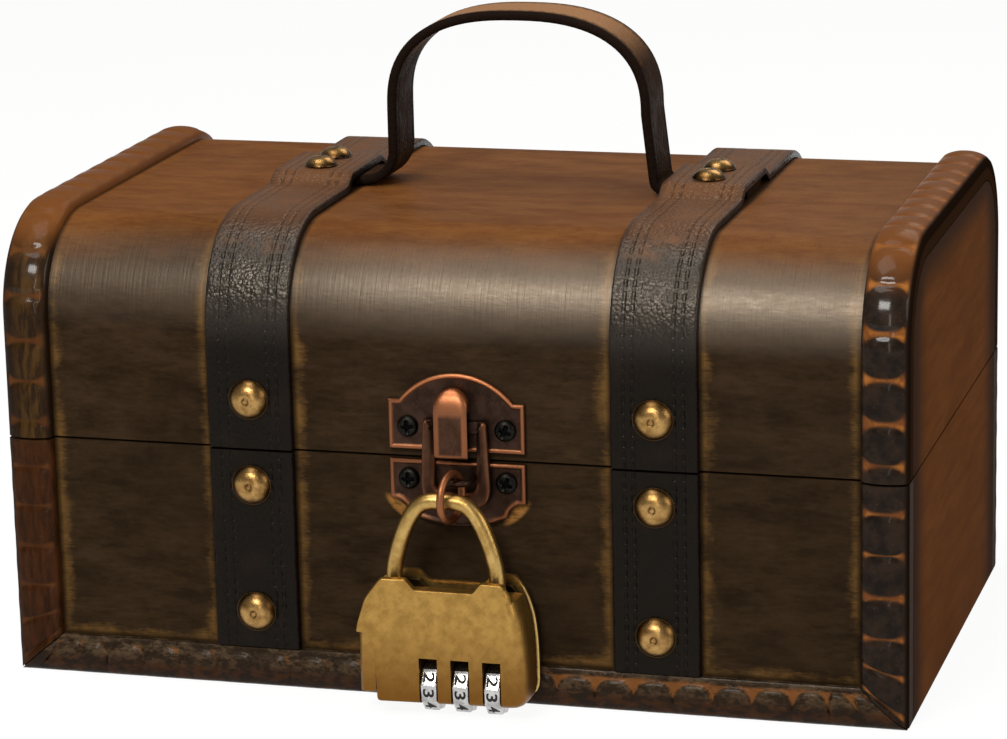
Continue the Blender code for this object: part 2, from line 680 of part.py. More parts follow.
# Hasp, its two plates, the staple ring and four screws
def latch(holes):
    hole = SCREW_SHANK_RADIUS + HOLE_EASE
    screws = {"hasp_plate": HASP_PLATE_FOOT + HASP_SCREW_RISE,
              "staple_plate": BASE_TOP - STAPLE_SCREW_DROP}
    board_of = {"hasp_plate": "lid", "staple_plate": "front"}
    spots = {key: [] for key in screws}
    profile = screw_profile(PLATE_OUT + SEAT + NAIL_BITE)
    for plate, z in screws.items():
        for side, sign in (("left", -1), ("right", 1)):
            x = LATCH_X + sign * SCREW_SPACING / 2
            turned(f"{plate}_{side}_screw", profile, (x, -FACE - PLATE_OUT - SEAT, z), "front",
                   "screw_steel")
            spots[plate].append(circle((x, z), hole, 12))
            holes[board_of[plate]].append(((x, -FACE + NAIL_BITE + HOLE_EASE, z),
                                           (x, -FACE - OVERRUN, z), hole))
    faces = sorted((-FACE - SEAT, -FACE - PLATE_OUT))
    plate = prism("hasp_plate", [hasp_plate_outline()] + spots["hasp_plate"], "y", *faces,
                  "latch_copper")
    combine(plate, tongue(), "UNION")
    eye_hole = EYE_WIRE_RADIUS + SEAT
    legs = [(EYE_X + sign * EYE_HALF_WIDTH, EYE_HEIGHT) for sign in (-1, 1)]
    leg_spots = [circle(leg, eye_hole, 12) for leg in legs]
    prism("staple_plate", [staple_plate_outline()] + spots["staple_plate"] + leg_spots, "y",
          *faces, "latch_copper")
    for x, z in legs:
        holes["front"].append(((x, -FACE + EYE_BITE + SEAT, z), (x, -FACE - OVERRUN, z),
                               eye_hole))
    hasp()
    eye_and_ring()


def tongue():
    """The hook pressed out of the upper plate, which wraps the hasp's top bar."""
    inside = PLATE_OUT + SEAT + HASP_THICK + SEAT
    outside = inside + TONGUE_WALL
    root = PLATE_OUT - PLATE_THICK / 2
    roof = HASP_TOP + SEAT
    side = [(root, TONGUE_TOP), (PLATE_OUT + TONGUE_TIP, TONGUE_TOP),
            (outside, TONGUE_TOP - TONGUE_SHOULDER),
            (outside, TONGUE_FOOT), (inside, TONGUE_FOOT), (inside, roof), (root, roof)]
    half = TONGUE_WIDTH / 2
    middle = LATCH_X + TONGUE_SHIFT
    body = prism("tongue_side", [[(-FACE - out, z) for out, z in side]], "x",
                 middle - half, middle + half)
    dome = arc((middle, TONGUE_TOP - half), half, 0, 180, 10)
    front = [(middle - half, TONGUE_FOOT - OVERRUN), (middle + half, TONGUE_FOOT - OVERRUN)]
    shape = prism("tongue_front", [front + dome], "y", -FACE - outside - OVERRUN, -FACE + OVERRUN)
    return combine(body, shape, "INTERSECT")


def rounded_foot(half, low, high, corner):
    """An upright outline whose two lower corners are round."""
    left = arc((LATCH_X - half + corner, low + corner), corner, 180, 270, 5)
    right = arc((LATCH_X + half - corner, low + corner), corner, 270, 360, 5)
    return [(LATCH_X - half, high)] + left + right + [(LATCH_X + half, high)]


def hasp():
    low = HASP_TOP - HASP_LENGTH
    outer = rounded_foot(HASP_WIDTH / 2, low, HASP_TOP, HASP_CORNER)
    window = rounded_foot(HASP_SLOT_WIDTH / 2, low + HASP_FOOT_BAR, HASP_TOP - HASP_BAR,
                          HASP_SLOT_CORNER)
    near = PLATE_OUT + SEAT
    prism("hasp_arm", [outer, window], "y", -FACE - near - HASP_THICK, -FACE - near,
          "latch_copper")


def eye_and_ring():
    """A wire eye driven into the board, and the loose ring that hangs in it."""
    left, right = EYE_X - EYE_HALF_WIDTH, EYE_X + EYE_HALF_WIDTH
    bend = arc((EYE_X, FACE + EYE_OUT - EYE_HALF_WIDTH), EYE_HALF_WIDTH, 180, 0, 10)
    line = ([(left, -FACE + EYE_BITE, EYE_HEIGHT)] + [(x, -y, EYE_HEIGHT) for x, y in bend]
            + [(right, -FACE + EYE_BITE, EYE_HEIGHT)])
    tube("ring_eye", line, EYE_WIRE_RADIUS, "latch_copper", 2)
    r = RING_WIRE_RADIUS
    section = [(RING_RADIUS + r * math.sin(a), r * math.cos(a))
               for a in (math.tau * i / 12 for i in range(12))]
    hang = EYE_WIRE_RADIUS + SEAT + RING_WIRE_RADIUS
    drop = math.sqrt((RING_RADIUS - hang) ** 2 - (RING_OUT - EYE_OUT) ** 2)
    place = (LATCH_X + RING_SHIFT, -FACE - RING_OUT, EYE_HEIGHT - drop)
    loose = turned("lock_ring", section, place, "side", "latch_copper", 24, closed=True)
    turn = Matrix.Rotation(math.radians(RING_TURN_DEGREES), 4, "Z")
    loose.matrix_world = Matrix.Translation(place) @ turn @ TURNS["side"]


# Two butt hinges on the back; screws through the leaves' holes hold them
def hinges():
    axis_y = FACE + HINGE_AXIS_OUT
    near, far = FACE + SEAT, FACE + SEAT + HINGE_LEAF_THICK
    ease = HINGE_BARREL_RADIUS + RUNNING
    meet = math.degrees(math.acos((far - axis_y) / HINGE_BARREL_RADIUS))
    barrel = arc((axis_y, 0.0), HINGE_BARREL_RADIUS, meet, -150, 14)
    half = [(near, ease + HINGE_LEAF_HEIGHT), (far, ease + HINGE_LEAF_HEIGHT)] + barrel
    half.append((near, 0.0))
    third = HINGE_WIDTH / 3
    for side, sign in (("left", -1), ("right", 1)):
        middle = sign * HINGE_X
        low, high = middle - HINGE_WIDTH / 2, middle + HINGE_WIDTH / 2
        gaps = {"base": [(low + third, high - third)],
                "lid": [(low - OVERRUN, low + third + RUNNING),
                        (high - third - RUNNING, high + OVERRUN)]}
        for part, up in (("base", -1), ("lid", 1)):
            outline = [(y, PARTING_HEIGHT + up * rise) for y, rise in half]
            bore = circle((axis_y, PARTING_HEIGHT), HINGE_PIN_RADIUS + RUNNING, 12)
            leaf = prism(f"{side}_hinge_{part}_leaf", [outline, bore], "x", low, high,
                         "latch_copper")
            reach = sorted((PARTING_HEIGHT - up * (ease + OVERRUN), PARTING_HEIGHT + up * ease))
            for number, (start, stop) in enumerate(gaps[part], 1):
                combine(leaf, box(f"{side}_{part}_knuckle_gap_{number}",
                                  (start, near - OVERRUN, reach[0]),
                                  (stop, axis_y + ease + OVERRUN, reach[1])))
            z = PARTING_HEIGHT + up * (ease + HINGE_LEAF_HEIGHT / 2)
            spots = [middle + s * HINGE_HOLE_SPACING / 2 for s in (-1, 1)]
            rods = [((x, near - OVERRUN, z), (x, far + OVERRUN, z), HINGE_HOLE_RADIUS)
                    for x in spots]
            combine(leaf, rod_cutter(f"{side}_{part}_screw_holes", rods, 12))
        turned(f"{side}_hinge_pin",
               [(0.0, HINGE_WIDTH / 2), (HINGE_PIN_RADIUS, HINGE_WIDTH / 2),
                (HINGE_PIN_RADIUS, -HINGE_WIDTH / 2), (0.0, -HINGE_WIDTH / 2)],
               (middle, axis_y, PARTING_HEIGHT), "side", "screw_steel", 12)


# Padlock with three number wheels
def padlock():
    out = PADLOCK_OUT
    axle_z = DIAL_FOOT + DIAL_RADIUS
    dials = [PADLOCK_X + DIAL_SHIFT + i * DIAL_PITCH for i in (-1, 0, 1)]
    shape = [(PADLOCK_X + u * PADLOCK_WIDTH, PADLOCK_FOOT + v * PADLOCK_HEIGHT)
             for u, v in CASE_OUTLINE_SHARES]
    case = prism("padlock_case", [shape], "y", -FACE - CASE_FRONT_OUT, -FACE - CASE_BACK_OUT,
                 "padlock_brass", edge=CASE_EDGE, smooth=True)
    back = CASE_BACK_OUT - SEAT
    cover = prism("padlock_back_cover", [shape], "y", -FACE - back, -FACE - back + COVER_THICK,
                  "padlock_brass")
    wheel = DIAL_RADIUS + WINDOW_CLEAR
    half = DIAL_WIDTH / 2 + WINDOW_CLEAR / 2
    rods = [((x - half, -FACE - out, axle_z), (x + half, -FACE - out, axle_z), wheel)
            for x in dials]
    for obj, label in ((case, "case"), (cover, "cover")):
        combine(obj, rod_cutter(f"{label}_wheel_room", rods, 24))
    for number, x in enumerate(dials, 1):
        window = box(f"window_{number}", (x - half, -FACE - CASE_FRONT_OUT - OVERRUN, 0),
                     (x + half, -FACE - out, WINDOW_TOP))
        combine(case, window)
    reach = SPINDLE_OVERHANG + DIAL_WIDTH / 2
    ends = (dials[0] - reach, dials[2] + reach)
    bore = SPINDLE_RADIUS + RUNNING
    spindle_hole = [((ends[0] - SEAT, -FACE - out, axle_z), (ends[1] + SEAT, -FACE - out, axle_z),
                     bore)]
    combine(case, rod_cutter("spindle_hole", spindle_hole, 12))
    top = PADLOCK_FOOT + PADLOCK_HEIGHT
    middle = PADLOCK_X + SHACKLE_SHIFT
    legs = {-1: SHACKLE_TOE, 1: SHACKLE_HEEL}
    leg_rods = [((middle + s * SHACKLE_HALF_SPAN, -FACE - out, top - depth - SEAT),
                 (middle + s * SHACKLE_HALF_SPAN, -FACE - out, top + OVERRUN),
                 SHACKLE_RADIUS + RUNNING) for s, depth in legs.items()]
    combine(case, rod_cutter("shackle_holes", leg_rods, 16))
    bow = ([(middle - SHACKLE_HALF_SPAN, top - SHACKLE_TOE)] + shackle_bow(middle, top)
           + [(middle + SHACKLE_HALF_SPAN, top - SHACKLE_HEEL)])
    tube("padlock_shackle", [(x, -FACE - out, z) for x, z in bow], SHACKLE_RADIUS,
         "shackle_brass")
    w, r, c = DIAL_WIDTH / 2, DIAL_RADIUS, DIAL_CHAMFER
    hub = SPINDLE_RADIUS + RUNNING
    wheel_section = [(hub, w), (r - c, w), (r, w - c), (r, c - w), (r - c, -w), (hub, -w)]
    for number, x in enumerate(dials, 1):
        turned(f"padlock_dial_{number}", wheel_section, (x, -FACE - out, axle_z), "side",
               "dial_chrome", DIAL_FACETS, closed=True)
    length = (ends[1] - ends[0]) / 2
    turned("padlock_spindle", [(0.0, length), (SPINDLE_RADIUS, length),
                               (SPINDLE_RADIUS, -length), (0.0, -length)],
           ((ends[0] + ends[1]) / 2, -FACE - out, axle_z), "side", "screw_steel", 12)
    release(case)


def shackle_bow(middle, top):
    """Legs that lean towards each other, closed by a flat-topped bow."""
    neck = top + SHACKLE_NECK
    line = []
    for i in range(-10, 11):
        share = math.sin(math.pi / 2 * i / 10)
        rise = (SHACKLE_RISE - SHACKLE_NECK) * math.sqrt(1 - abs(share) ** SHACKLE_SQUARENESS)
        half = SHACKLE_HALF_SPAN - SHACKLE_LEAN_SHARE * rise
        line.append((middle + half * share, neck + rise))
    return line


def release(case):
    """A slide with a rounded face, held in the case by a flange behind a neck."""
    left = PADLOCK_X - PADLOCK_WIDTH / 2
    y = -FACE - PADLOCK_OUT
    face = left + RELEASE_WIDTH
    neck = face + RELEASE_NECK
    end = neck + RELEASE_FLANGE
    deep, thin, wide = RELEASE_DEPTH / 2, RELEASE_NECK_DEPTH / 2, RELEASE_FLANGE_DEPTH / 2
    bulge = deep * RELEASE_BULGE_SHARE
    round_face = [(left + bulge * (1 - math.cos(a)), y + deep * math.sin(a))
                  for a in (math.radians(d) for d in (-60, -30, 0, 30, 60))]
    plan = ([(face, y - deep)] + round_face + [(face, y + deep), (face, y + thin),
            (neck, y + thin), (neck, y + wide), (end, y + wide), (end, y - wide),
            (neck, y - wide), (neck, y - thin), (face, y - thin)])
    prism("padlock_release", [plan], "z", RELEASE_FOOT, RELEASE_TOP, "padlock_brass")
    ease = WINDOW_CLEAR
    low, high = PADLOCK_FOOT - OVERRUN, RELEASE_TOP + ease
    rooms = {"release_room": (left - OVERRUN, face + ease, deep + ease),
             "neck_room": (face, neck + ease, thin + ease),
             "flange_room": (neck - ease, end + ease, wide + ease)}
    for name, (start, stop, reach) in rooms.items():
        combine(case, box(name, (start, y - reach, low), (stop, y + reach, high)))


def joint_empties():
    """One empty on each joint's axis, which carries the pieces that move with it."""
    y = -FACE - PADLOCK_OUT
    apex = PADLOCK_FOOT + PADLOCK_HEIGHT + SHACKLE_RISE
    bar = -FACE - PLATE_OUT - SEAT - HASP_THICK / 2
    spots = {"lid_axis": (0.0, FACE + HINGE_AXIS_OUT, PARTING_HEIGHT),
             "hasp_axis": (LATCH_X, bar, HASP_TOP - HASP_BAR / 2),
             "shackle_axis": (PADLOCK_X, y, apex),
             "case_axis": (PADLOCK_X, y, PADLOCK_FOOT + PADLOCK_HEIGHT),
             "release_axis": (PADLOCK_X - PADLOCK_WIDTH / 2, y, RELEASE_TOP)}
    carried = {"lid_axis": ("lid_", "hasp_plate", "left_hinge_lid", "right_hinge_lid"),
               "hasp_axis": ("hasp_arm",),
               "shackle_axis": ("padlock_shackle",),
               "case_axis": ("padlock_case", "padlock_back", "padlock_spindle", "padlock_dial"),
               "release_axis": ("padlock_release",)}
    for name, place in spots.items():
        empty = bpy.data.objects.new(name, None)
        empty.location = place
        COLLECTIONS["cutters"].objects.link(empty)
        for obj in COLLECTIONS["jewelry_chest"].objects:
            if obj.name.startswith(carried[name]):
                obj.parent = empty
                obj.matrix_parent_inverse = Matrix.Translation(place).inverted()


front_board, back_board = base_boards()
bowed_board = lid_boards()
bead_strips()
leathers = straps()
grip = handle()
drilled = nails({"front": front_board, "back": back_board, "lid": bowed_board}, leathers, grip)
latch(drilled)
for key, board in (("front", front_board), ("back", back_board), ("lid", bowed_board)):
    combine(board, rod_cutter(f"{key}_board_holes", drilled[key], 8))
hinges()
padlock()
joint_empties()
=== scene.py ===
"""A small wooden jewelry chest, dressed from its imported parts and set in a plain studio."""
from math import (asin, copysign, cos, degrees, dist, floor, pi, radians, sin, sqrt, tau)

import bmesh
import bpy
from mathutils import Matrix, Vector, noise


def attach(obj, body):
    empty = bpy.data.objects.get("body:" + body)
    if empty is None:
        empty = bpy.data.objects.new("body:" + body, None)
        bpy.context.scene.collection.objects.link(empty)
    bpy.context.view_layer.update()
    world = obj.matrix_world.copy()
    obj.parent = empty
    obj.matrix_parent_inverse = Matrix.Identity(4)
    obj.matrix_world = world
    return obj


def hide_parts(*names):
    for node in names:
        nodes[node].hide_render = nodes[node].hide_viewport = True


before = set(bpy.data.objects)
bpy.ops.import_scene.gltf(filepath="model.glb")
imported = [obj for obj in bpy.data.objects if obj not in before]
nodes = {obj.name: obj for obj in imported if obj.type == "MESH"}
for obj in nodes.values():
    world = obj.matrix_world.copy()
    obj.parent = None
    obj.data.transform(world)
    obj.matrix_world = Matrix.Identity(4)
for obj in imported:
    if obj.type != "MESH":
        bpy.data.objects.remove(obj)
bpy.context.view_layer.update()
scene = bpy.context.scene
scene.view_settings.view_transform = "Standard"


# The studio: a white table that fills the view, a large softbox over the camera's
# left shoulder, one above the lid for its top, and weak light from everywhere else.
# The camera stands a metre away, a little to the right and above, on a long lens.
def aim(back, roll_degrees, place):
    side = (-back).cross(Vector((0, 0, 1))).normalized()
    rise = side.cross(-back)
    roll = radians(roll_degrees)
    across = cos(roll) * side + sin(roll) * rise
    upward = cos(roll) * rise - sin(roll) * side
    turn = Matrix((across, upward, back)).transposed().to_4x4()
    return Matrix.Translation(place) @ turn


yaw, pitch, roll_degrees = radians(16.078), radians(14.397), -1.351
looks_at, camera_away = Vector((-0.0042, 0, 0.06538)), 1.00157
to_camera = Vector((sin(yaw) * cos(pitch), -cos(yaw) * cos(pitch),
                    sin(pitch)))
lens = bpy.data.cameras.new("studio_camera")
lens.lens, lens.sensor_width = 139.87, 36.0
lens.clip_start = 0.05
camera = bpy.data.objects.new("studio_camera", lens)
camera.matrix_world = aim(to_camera, roll_degrees, looks_at + to_camera * camera_away)
scene.collection.objects.link(camera)
scene.camera = camera


def softbox(name, place, target, width, height, watts, tint):
    data = bpy.data.lights.new(name, "AREA")
    data.shape, data.size, data.size_y = "RECTANGLE", width, height
    data.energy, data.color = watts, tint
    lamp = bpy.data.objects.new(name, data)
    place, target = Vector(place), Vector(target)
    lamp.matrix_world = aim((place - target).normalized(), 0, place)
    scene.collection.objects.link(lamp)


soft_white = (1.0, 0.97, 0.93)
softbox("overhead_softbox", (-0.18, -0.10, 0.95), (0, 0, 0.09), 0.50, 0.40, 3.2, soft_white)
softbox("key_softbox", (-0.12, -0.80, 0.76), (0, 0, 0.09), 0.38, 0.20, 7.2, soft_white)
softbox("rear_softbox", (0.25, 0.60, 0.80), (0, 0.02, 0.10), 0.60, 0.40, 2.6, (1.0, 0.92, 0.80))
softbox("side_softbox", (1.00, -0.20, 0.45), (0.1, 0, 0.06), 0.40, 0.50, 2.4, (1.0, 0.93, 0.84))
softbox("glint_strip", (0.12, -1.00, 0.30), (0, 0, 0.06), 0.045, 0.55, 0.9, (1.0, 0.95, 0.88))


class Value:
    """A shader value. Arithmetic on it adds the nodes that work it out."""

    def __init__(self, socket):
        self.socket, self.tree = socket, socket.id_data

    def math(self, operation, *others):
        return made(self.tree, "ShaderNodeMath", dict(enumerate((self, *others))),
                    operation=operation)

    def ramp(self, low, high, to_low=0.0, to_high=1.0):
        """The value smoothly remapped between two limits."""
        limits = {"From Min": low, "From Max": high, "To Min": to_low, "To Max": to_high}
        return made(self.tree, "ShaderNodeMapRange", {"Value": self, **limits},
                    interpolation_type="SMOOTHSTEP")

    def __add__(self, other):
        return self.math("ADD", other)

    def __sub__(self, other):
        return self.math("SUBTRACT", other)

    def __rsub__(self, other):
        return self * -1 + other

    def __mul__(self, other):
        return self.math("MULTIPLY", other)

    def __abs__(self):
        return self.math("ABSOLUTE")


def plug(inputs, values):
    """Gives each input a plain value, or links a shader value to it."""
    for key, value in values.items():
        if isinstance(value, Value):
            value.tree.links.new(value.socket, inputs[key])
        else:
            inputs[key].default_value = value


def add(tree, kind, values=None, **settings):
    """A shader node with its settings and with what goes into it."""
    node = tree.nodes.new(kind)
    for key, value in settings.items():
        setattr(node, key, value)
    plug(node.inputs, values or {})
    return node


def made(tree, kind, values=None, output=0, **settings):
    return Value(add(tree, kind, values, **settings).outputs[output])


def values_of(node):
    return {socket.name: Value(socket) for socket in node.outputs}


world = bpy.data.worlds.new("studio_air")
scene.world = world
world.use_nodes = True
plug(world.node_tree.nodes["Background"].inputs, {"Color": (1.0, 0.98, 0.95, 1.0),
                                                  "Strength": 0.25})

table_material = bpy.data.materials.new("white_table")
table_material.use_nodes = True
tree = table_material.node_tree
tree.nodes.clear()
rays = values_of(add(tree, "ShaderNodeLightPath"))
seen = rays["Is Camera Ray"] + rays["Is Glossy Ray"] + rays["Is Transmission Ray"]
glow_share = seen.math("MINIMUM", 1.0) * 0.86
matt = made(tree, "ShaderNodeBsdfDiffuse", {"Color": (0.62, 0.62, 0.62, 1)})
glow = made(tree, "ShaderNodeEmission", {"Color": (1, 1, 1, 1), "Strength": 1.08})
surface = made(tree, "ShaderNodeMixShader", {0: glow_share, 1: matt, 2: glow})
add(tree, "ShaderNodeOutputMaterial", {"Surface": surface})
bm = bmesh.new()
bmesh.ops.create_grid(bm, x_segments=2, y_segments=2, size=40.0)
table_mesh = bpy.data.meshes.new("white_table")
bm.to_mesh(table_mesh)
bm.free()
table_mesh.materials.append(table_material)
table = bpy.data.objects.new("white_table", table_mesh)
scene.collection.objects.link(table)


# The boards: thin soft wood, glued, stained dark brown and wiped, so that the stain
# stays in the grain and gold-brown wood shows beside whatever was nailed on later.
# The lid's one board is bent over its two ends, and its top is painted a warmer, lighter brown:
# painted light, standing for the warmer light that its top catches.
# Sizes are metres. The boards' faces stand at -face and face, and the lid bends over
# from them to skin_top.
face, bend, skin_top, half_length = 0.0659, 0.0230, 0.1137, 0.1125
foot_of_lid, top_of_base = 0.0606, 0.0600
strip_width, foot_height, strap_width = 0.0114, 0.0096, 0.0213
straps_middle, straps_apart = 0.00135, 0.05045
patch_x, patch_aside, patch_z, patch_slope = 0.0026, 0.0148, 0.0475, -0.75
near_front = (-0.0645, -0.0655)


def new_group(name, inputs, outputs):
    """A shader group with its sockets: inputs are (name, kind, value), outputs (name, kind)."""
    group = bpy.data.node_groups.new(name, "ShaderNodeTree")
    for label, kind, value in inputs:
        socket = group.interface.new_socket(label, in_out="INPUT",
                                            socket_type="NodeSocket" + kind)
        if value is not None:
            socket.default_value = value
    for label, kind in outputs:
        group.interface.new_socket(label, in_out="OUTPUT", socket_type="NodeSocket" + kind)
    given = values_of(add(group, "NodeGroupInput"))
    return group, given, add(group, "NodeGroupOutput").inputs


def use_group(tree, group, values):
    return values_of(add(tree, "ShaderNodeGroup", values, node_tree=group))


def blend(factor, first, second):
    """A colour between two others, each of them plain or a shader value."""
    colours = {key: colour if isinstance(colour, Value) else (*colour, 1.0)
               for key, colour in ((6, first), (7, second))}
    return made(factor.tree, "ShaderNodeMix", {"Factor": factor, **colours}, 2,
                data_type="RGBA")


def spots(place, stretch, detail=4.0, roughness=0.6):
    """Noise in spots per metre, which may differ along each axis."""
    if isinstance(stretch, (int, float)):
        stretch = (stretch,) * 3
    scaled = made(place.tree, "ShaderNodeVectorMath", {0: place, 1: stretch},
                  operation="MULTIPLY")
    return made(place.tree, "ShaderNodeTexNoise",
                {"Vector": scaled, "Scale": 1.0, "Detail": detail, "Roughness": roughness})


def parts_of(place):
    return [Value(s) for s in add(place.tree, "ShaderNodeSeparateXYZ", {0: place}).outputs]


wood_grain, given, out = new_group(
    "stained_grain",
    [("Place", "Vector", None), ("Streaks", "Vector", (20, 300, 300)),
     ("Fibres", "Vector", (90, 1600, 1600)), ("Dark", "Color", None), ("Light", "Color", None),
     ("Bare", "Color", None), ("Rubbed", "Float", 0.0), ("Shine", "Float", 0.42)],
    [("Colour", "Color"), ("Roughness", "Float"), ("Height", "Float")])
streaks = spots(given["Place"], given["Streaks"], 6.0, 0.65)
fibres = spots(given["Place"], given["Fibres"], 3.0, 0.7)
clouds = spots(given["Place"], 28, 3.0, 0.55)
depth = streaks * 0.62 + fibres * 0.38
stain = blend(depth.ramp(0.30, 0.70), given["Dark"], given["Light"])
stain = blend(clouds.ramp(0.35, 0.70, 0.0, 0.35), stain, given["Dark"])
hairs = spots(given["Place"], (420, 2600, 2600), 2.0)
patchy = spots(given["Place"], 95, 4.0, 0.65)
ragged = hairs * 0.8 + (patchy * 2.4 - 1.75)
bare_here = (given["Rubbed"] + ragged).ramp(0.25, 1.25) * given["Rubbed"].ramp(0.0, 0.2)
plug(out, {"Colour": blend(bare_here, stain, given["Bare"]), "Height": depth,
           "Roughness": fibres * 0.26 + (clouds * 0.10 + given["Shine"])})

near_trims, given, out = new_group("beside_the_trims", [("Place", "Vector", None)],
                                   [("Rubbed", "Float"), ("Shade", "Float")])
x, y, z = parts_of(given["Place"])
from_strap = abs(abs(x - straps_middle) - straps_apart) - strap_width / 2
from_strip = half_length - strip_width - abs(x)
nearest = from_strap.math("MINIMUM", from_strip).math("MINIMUM", z - foot_height)
plug(out, {"Rubbed": nearest.ramp(0.0060, 0.0002), "Shade": nearest.ramp(0.0016, 0.0002)})


def give(shader, **values):
    """Sets or links a Principled shader's inputs, named here in small letters."""
    plug(shader.inputs, {key.replace("_", " ").title().replace("Ior", "IOR"): value
                         for key, value in values.items()})


def new_material(name, **values):
    """A material with one Principled shader, and the place on the object."""
    material = bpy.data.materials.new(name)
    material.use_nodes = True
    shader = material.node_tree.nodes["Principled BSDF"]
    give(shader, **values)
    return material, shader, made(material.node_tree, "ShaderNodeTexCoord", output="Object")


def bumped(shader, height, distance, strength, normal=None):
    values = {"Height": height, "Distance": distance, "Strength": strength}
    if normal:
        values["Normal"] = normal
    bump = made(height.tree, "ShaderNodeBump", values)
    give(shader, normal=bump)
    return bump


def wood_material(name, stain, streaks, fibres, shine, gloss, top=None, darker_edges=None):
    """A stained board. The stain is its dark, light and bare colour; top paints the lid's upper
    side warmer and lighter, as painted light, and the last colour darkens an end board towards its
    edges."""
    material, shader, place = new_material(name, ior=1.6, specular_ior_level=gloss,
                                           specular_tint=(1.0, 0.81, 0.62, 1.0))
    x, y, z = parts_of(place)
    beside = use_group(place.tree, near_trims, {"Place": place})
    over = (z - (skin_top - bend)).math("MAXIMUM", 0.0)
    beyond = (abs(y) - (face - bend)).math("MAXIMUM", 0.0)
    corner = (over * over + beyond * beyond).math("SQRT")
    # Wear shows on outer faces only. Inner ones lie nearer to the bend's middle line.
    outside = corner.ramp(0.0215, 0.0225)
    dark, light, bare = ((*colour, 1) for colour in stain)
    grain = use_group(place.tree, wood_grain, {
        "Place": place, "Streaks": streaks, "Fibres": fibres, "Dark": dark, "Light": light,
        "Bare": bare, "Shine": shine, "Rubbed": 0.0 if darker_edges else beside["Rubbed"] * outside})
    colour = grain["Colour"]
    # Painted light: the lid's top is painted warmer and lighter where it catches the light.
    if top:
        level = spots(place, (14, 30, 30)) * 0.016 + z
        painted_top_light = blend(grain["Height"].ramp(0.35, 0.65), *top)
        colour = blend(level.ramp(0.1105, 0.1230, 0.0, 0.95), colour, painted_top_light)
        polished = z.ramp(0.0872, 0.0990, 0.03, 1.0) * z.ramp(0.1128, 0.1015, 0.06, 1.0)
        polished = polished * x.ramp(-0.055, -0.002, 0.42, 1.0)
        polished = polished * abs(x).ramp(0.1124, 0.1121) * outside
        give(shader, specular_ior_level=polished * gloss)
    if darker_edges:
        # An end board is painted darker towards its edges, where the strips run.
        colour = blend(corner.ramp(0.0075, 0.0185, 0.0, 0.95), colour, darker_edges)
        colour = blend(abs(y).ramp(0.0400, 0.0600, 0.0, 0.90), colour, darker_edges)
    else:
        colour = blend(abs(x).ramp(0.1121, 0.1124), colour, (0.030, 0.014, 0.007))
        colour = blend(beside["Shade"] * outside * 0.75, colour, (0.006, 0.004, 0.003))
        # Pale orange-brown patches in the wood on the front, just below the staple plate's scoops.
        aside = abs(x - patch_x) - patch_aside
        slanted = aside * patch_slope + (z - patch_z)
        pale_patches = (aside * aside + slanted * (slanted * 3.0)).math("SQRT").ramp(0.0040, 0.0018)
        pale_patches = pale_patches * grain["Height"].ramp(0.35, 0.55) * y.ramp(*near_front)
        colour = blend(pale_patches, colour, (0.300, 0.140, 0.035))
    give(shader, base_color=colour, roughness=grain["Roughness"])
    brushed = bumped(shader, spots(place, (1100, 60, 60), 3.0, 0.65), 0.00016, 0.7)
    bumped(shader, grain["Height"], 0.00022, 0.55, brushed)
    return material


front_stain = wood_material(
    "front_stain", ((0.0145, 0.0083, 0.0042), (0.041, 0.0250, 0.0126), (0.125, 0.066, 0.020)),
    (55, 150, 150), (260, 1100, 1100), 0.46, 0.02)
lid_stain = wood_material(
    "lid_stain", ((0.0155, 0.0090, 0.0046), (0.043, 0.0255, 0.0130), (0.135, 0.072, 0.022)),
    (55, 150, 150), (260, 1100, 1100), 0.29, 0.95,
    top=((0.115, 0.038, 0.0095), (0.175, 0.068, 0.018)))
end_stain = wood_material(
    "end_stain", ((0.088, 0.030, 0.0075), (0.150, 0.052, 0.0125), (0.150, 0.070, 0.024)),
    (240, 30, 200), (1400, 90, 1400), 0.60, 0.01, darker_edges=(0.030, 0.014, 0.007))
floor_stain = wood_material(
    "floor_stain", ((0.060, 0.030, 0.014), (0.140, 0.078, 0.036), (0.150, 0.085, 0.034)),
    (18, 200, 200), (80, 1400, 1400), 0.50, 0.1)


def dress(name, material):
    """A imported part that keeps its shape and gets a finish."""
    for slot in nodes[name].material_slots:
        slot.material = material


for name in ("base_front_board", "base_back_board"):
    dress(name, front_stain)
for name in ("base_left_end", "base_right_end", "lid_left_end", "lid_right_end"):
    dress(name, end_stain)
dress("base_bottom_board", floor_stain)
straight = skin_top - bend - foot_of_lid
quarter = bend * pi / 2
over_length = 2 * (straight + quarter) + 2 * (face - bend)


def over_lid(s):
    """The place and outward normal, as (y, z), a distance s up and over the lid."""
    if s > over_length / 2:
        (y, z), (ny, nz) = over_lid(over_length - s)
        return (-y, z), (-ny, nz)
    if s <= straight:
        return (-face, foot_of_lid + s), (-1.0, 0.0)
    if s <= straight + quarter:
        a = (s - straight) / bend
        return ((-face + bend * (1 - cos(a)), skin_top - bend * (1 - sin(a))),
                (-cos(a), sin(a)))
    return (-face + bend + s - straight - quarter, skin_top), (0.0, 1.0)


def mesh_object(name, bm, material, body, replaced=(), smooth=True):
    """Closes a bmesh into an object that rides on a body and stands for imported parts."""
    bmesh.ops.recalc_face_normals(bm, faces=bm.faces)
    mesh = bpy.data.meshes.new(name)
    bm.to_mesh(mesh)
    bm.free()
    if smooth:
        mesh.shade_smooth()
        mesh.set_sharp_from_angle(angle=radians(42))
    mesh.materials.append(material)
    shown = bpy.data.objects.new(name, mesh)
    scene.collection.objects.link(shown)
    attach(shown, body)
    if replaced:
        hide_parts(*replaced)
    return shown


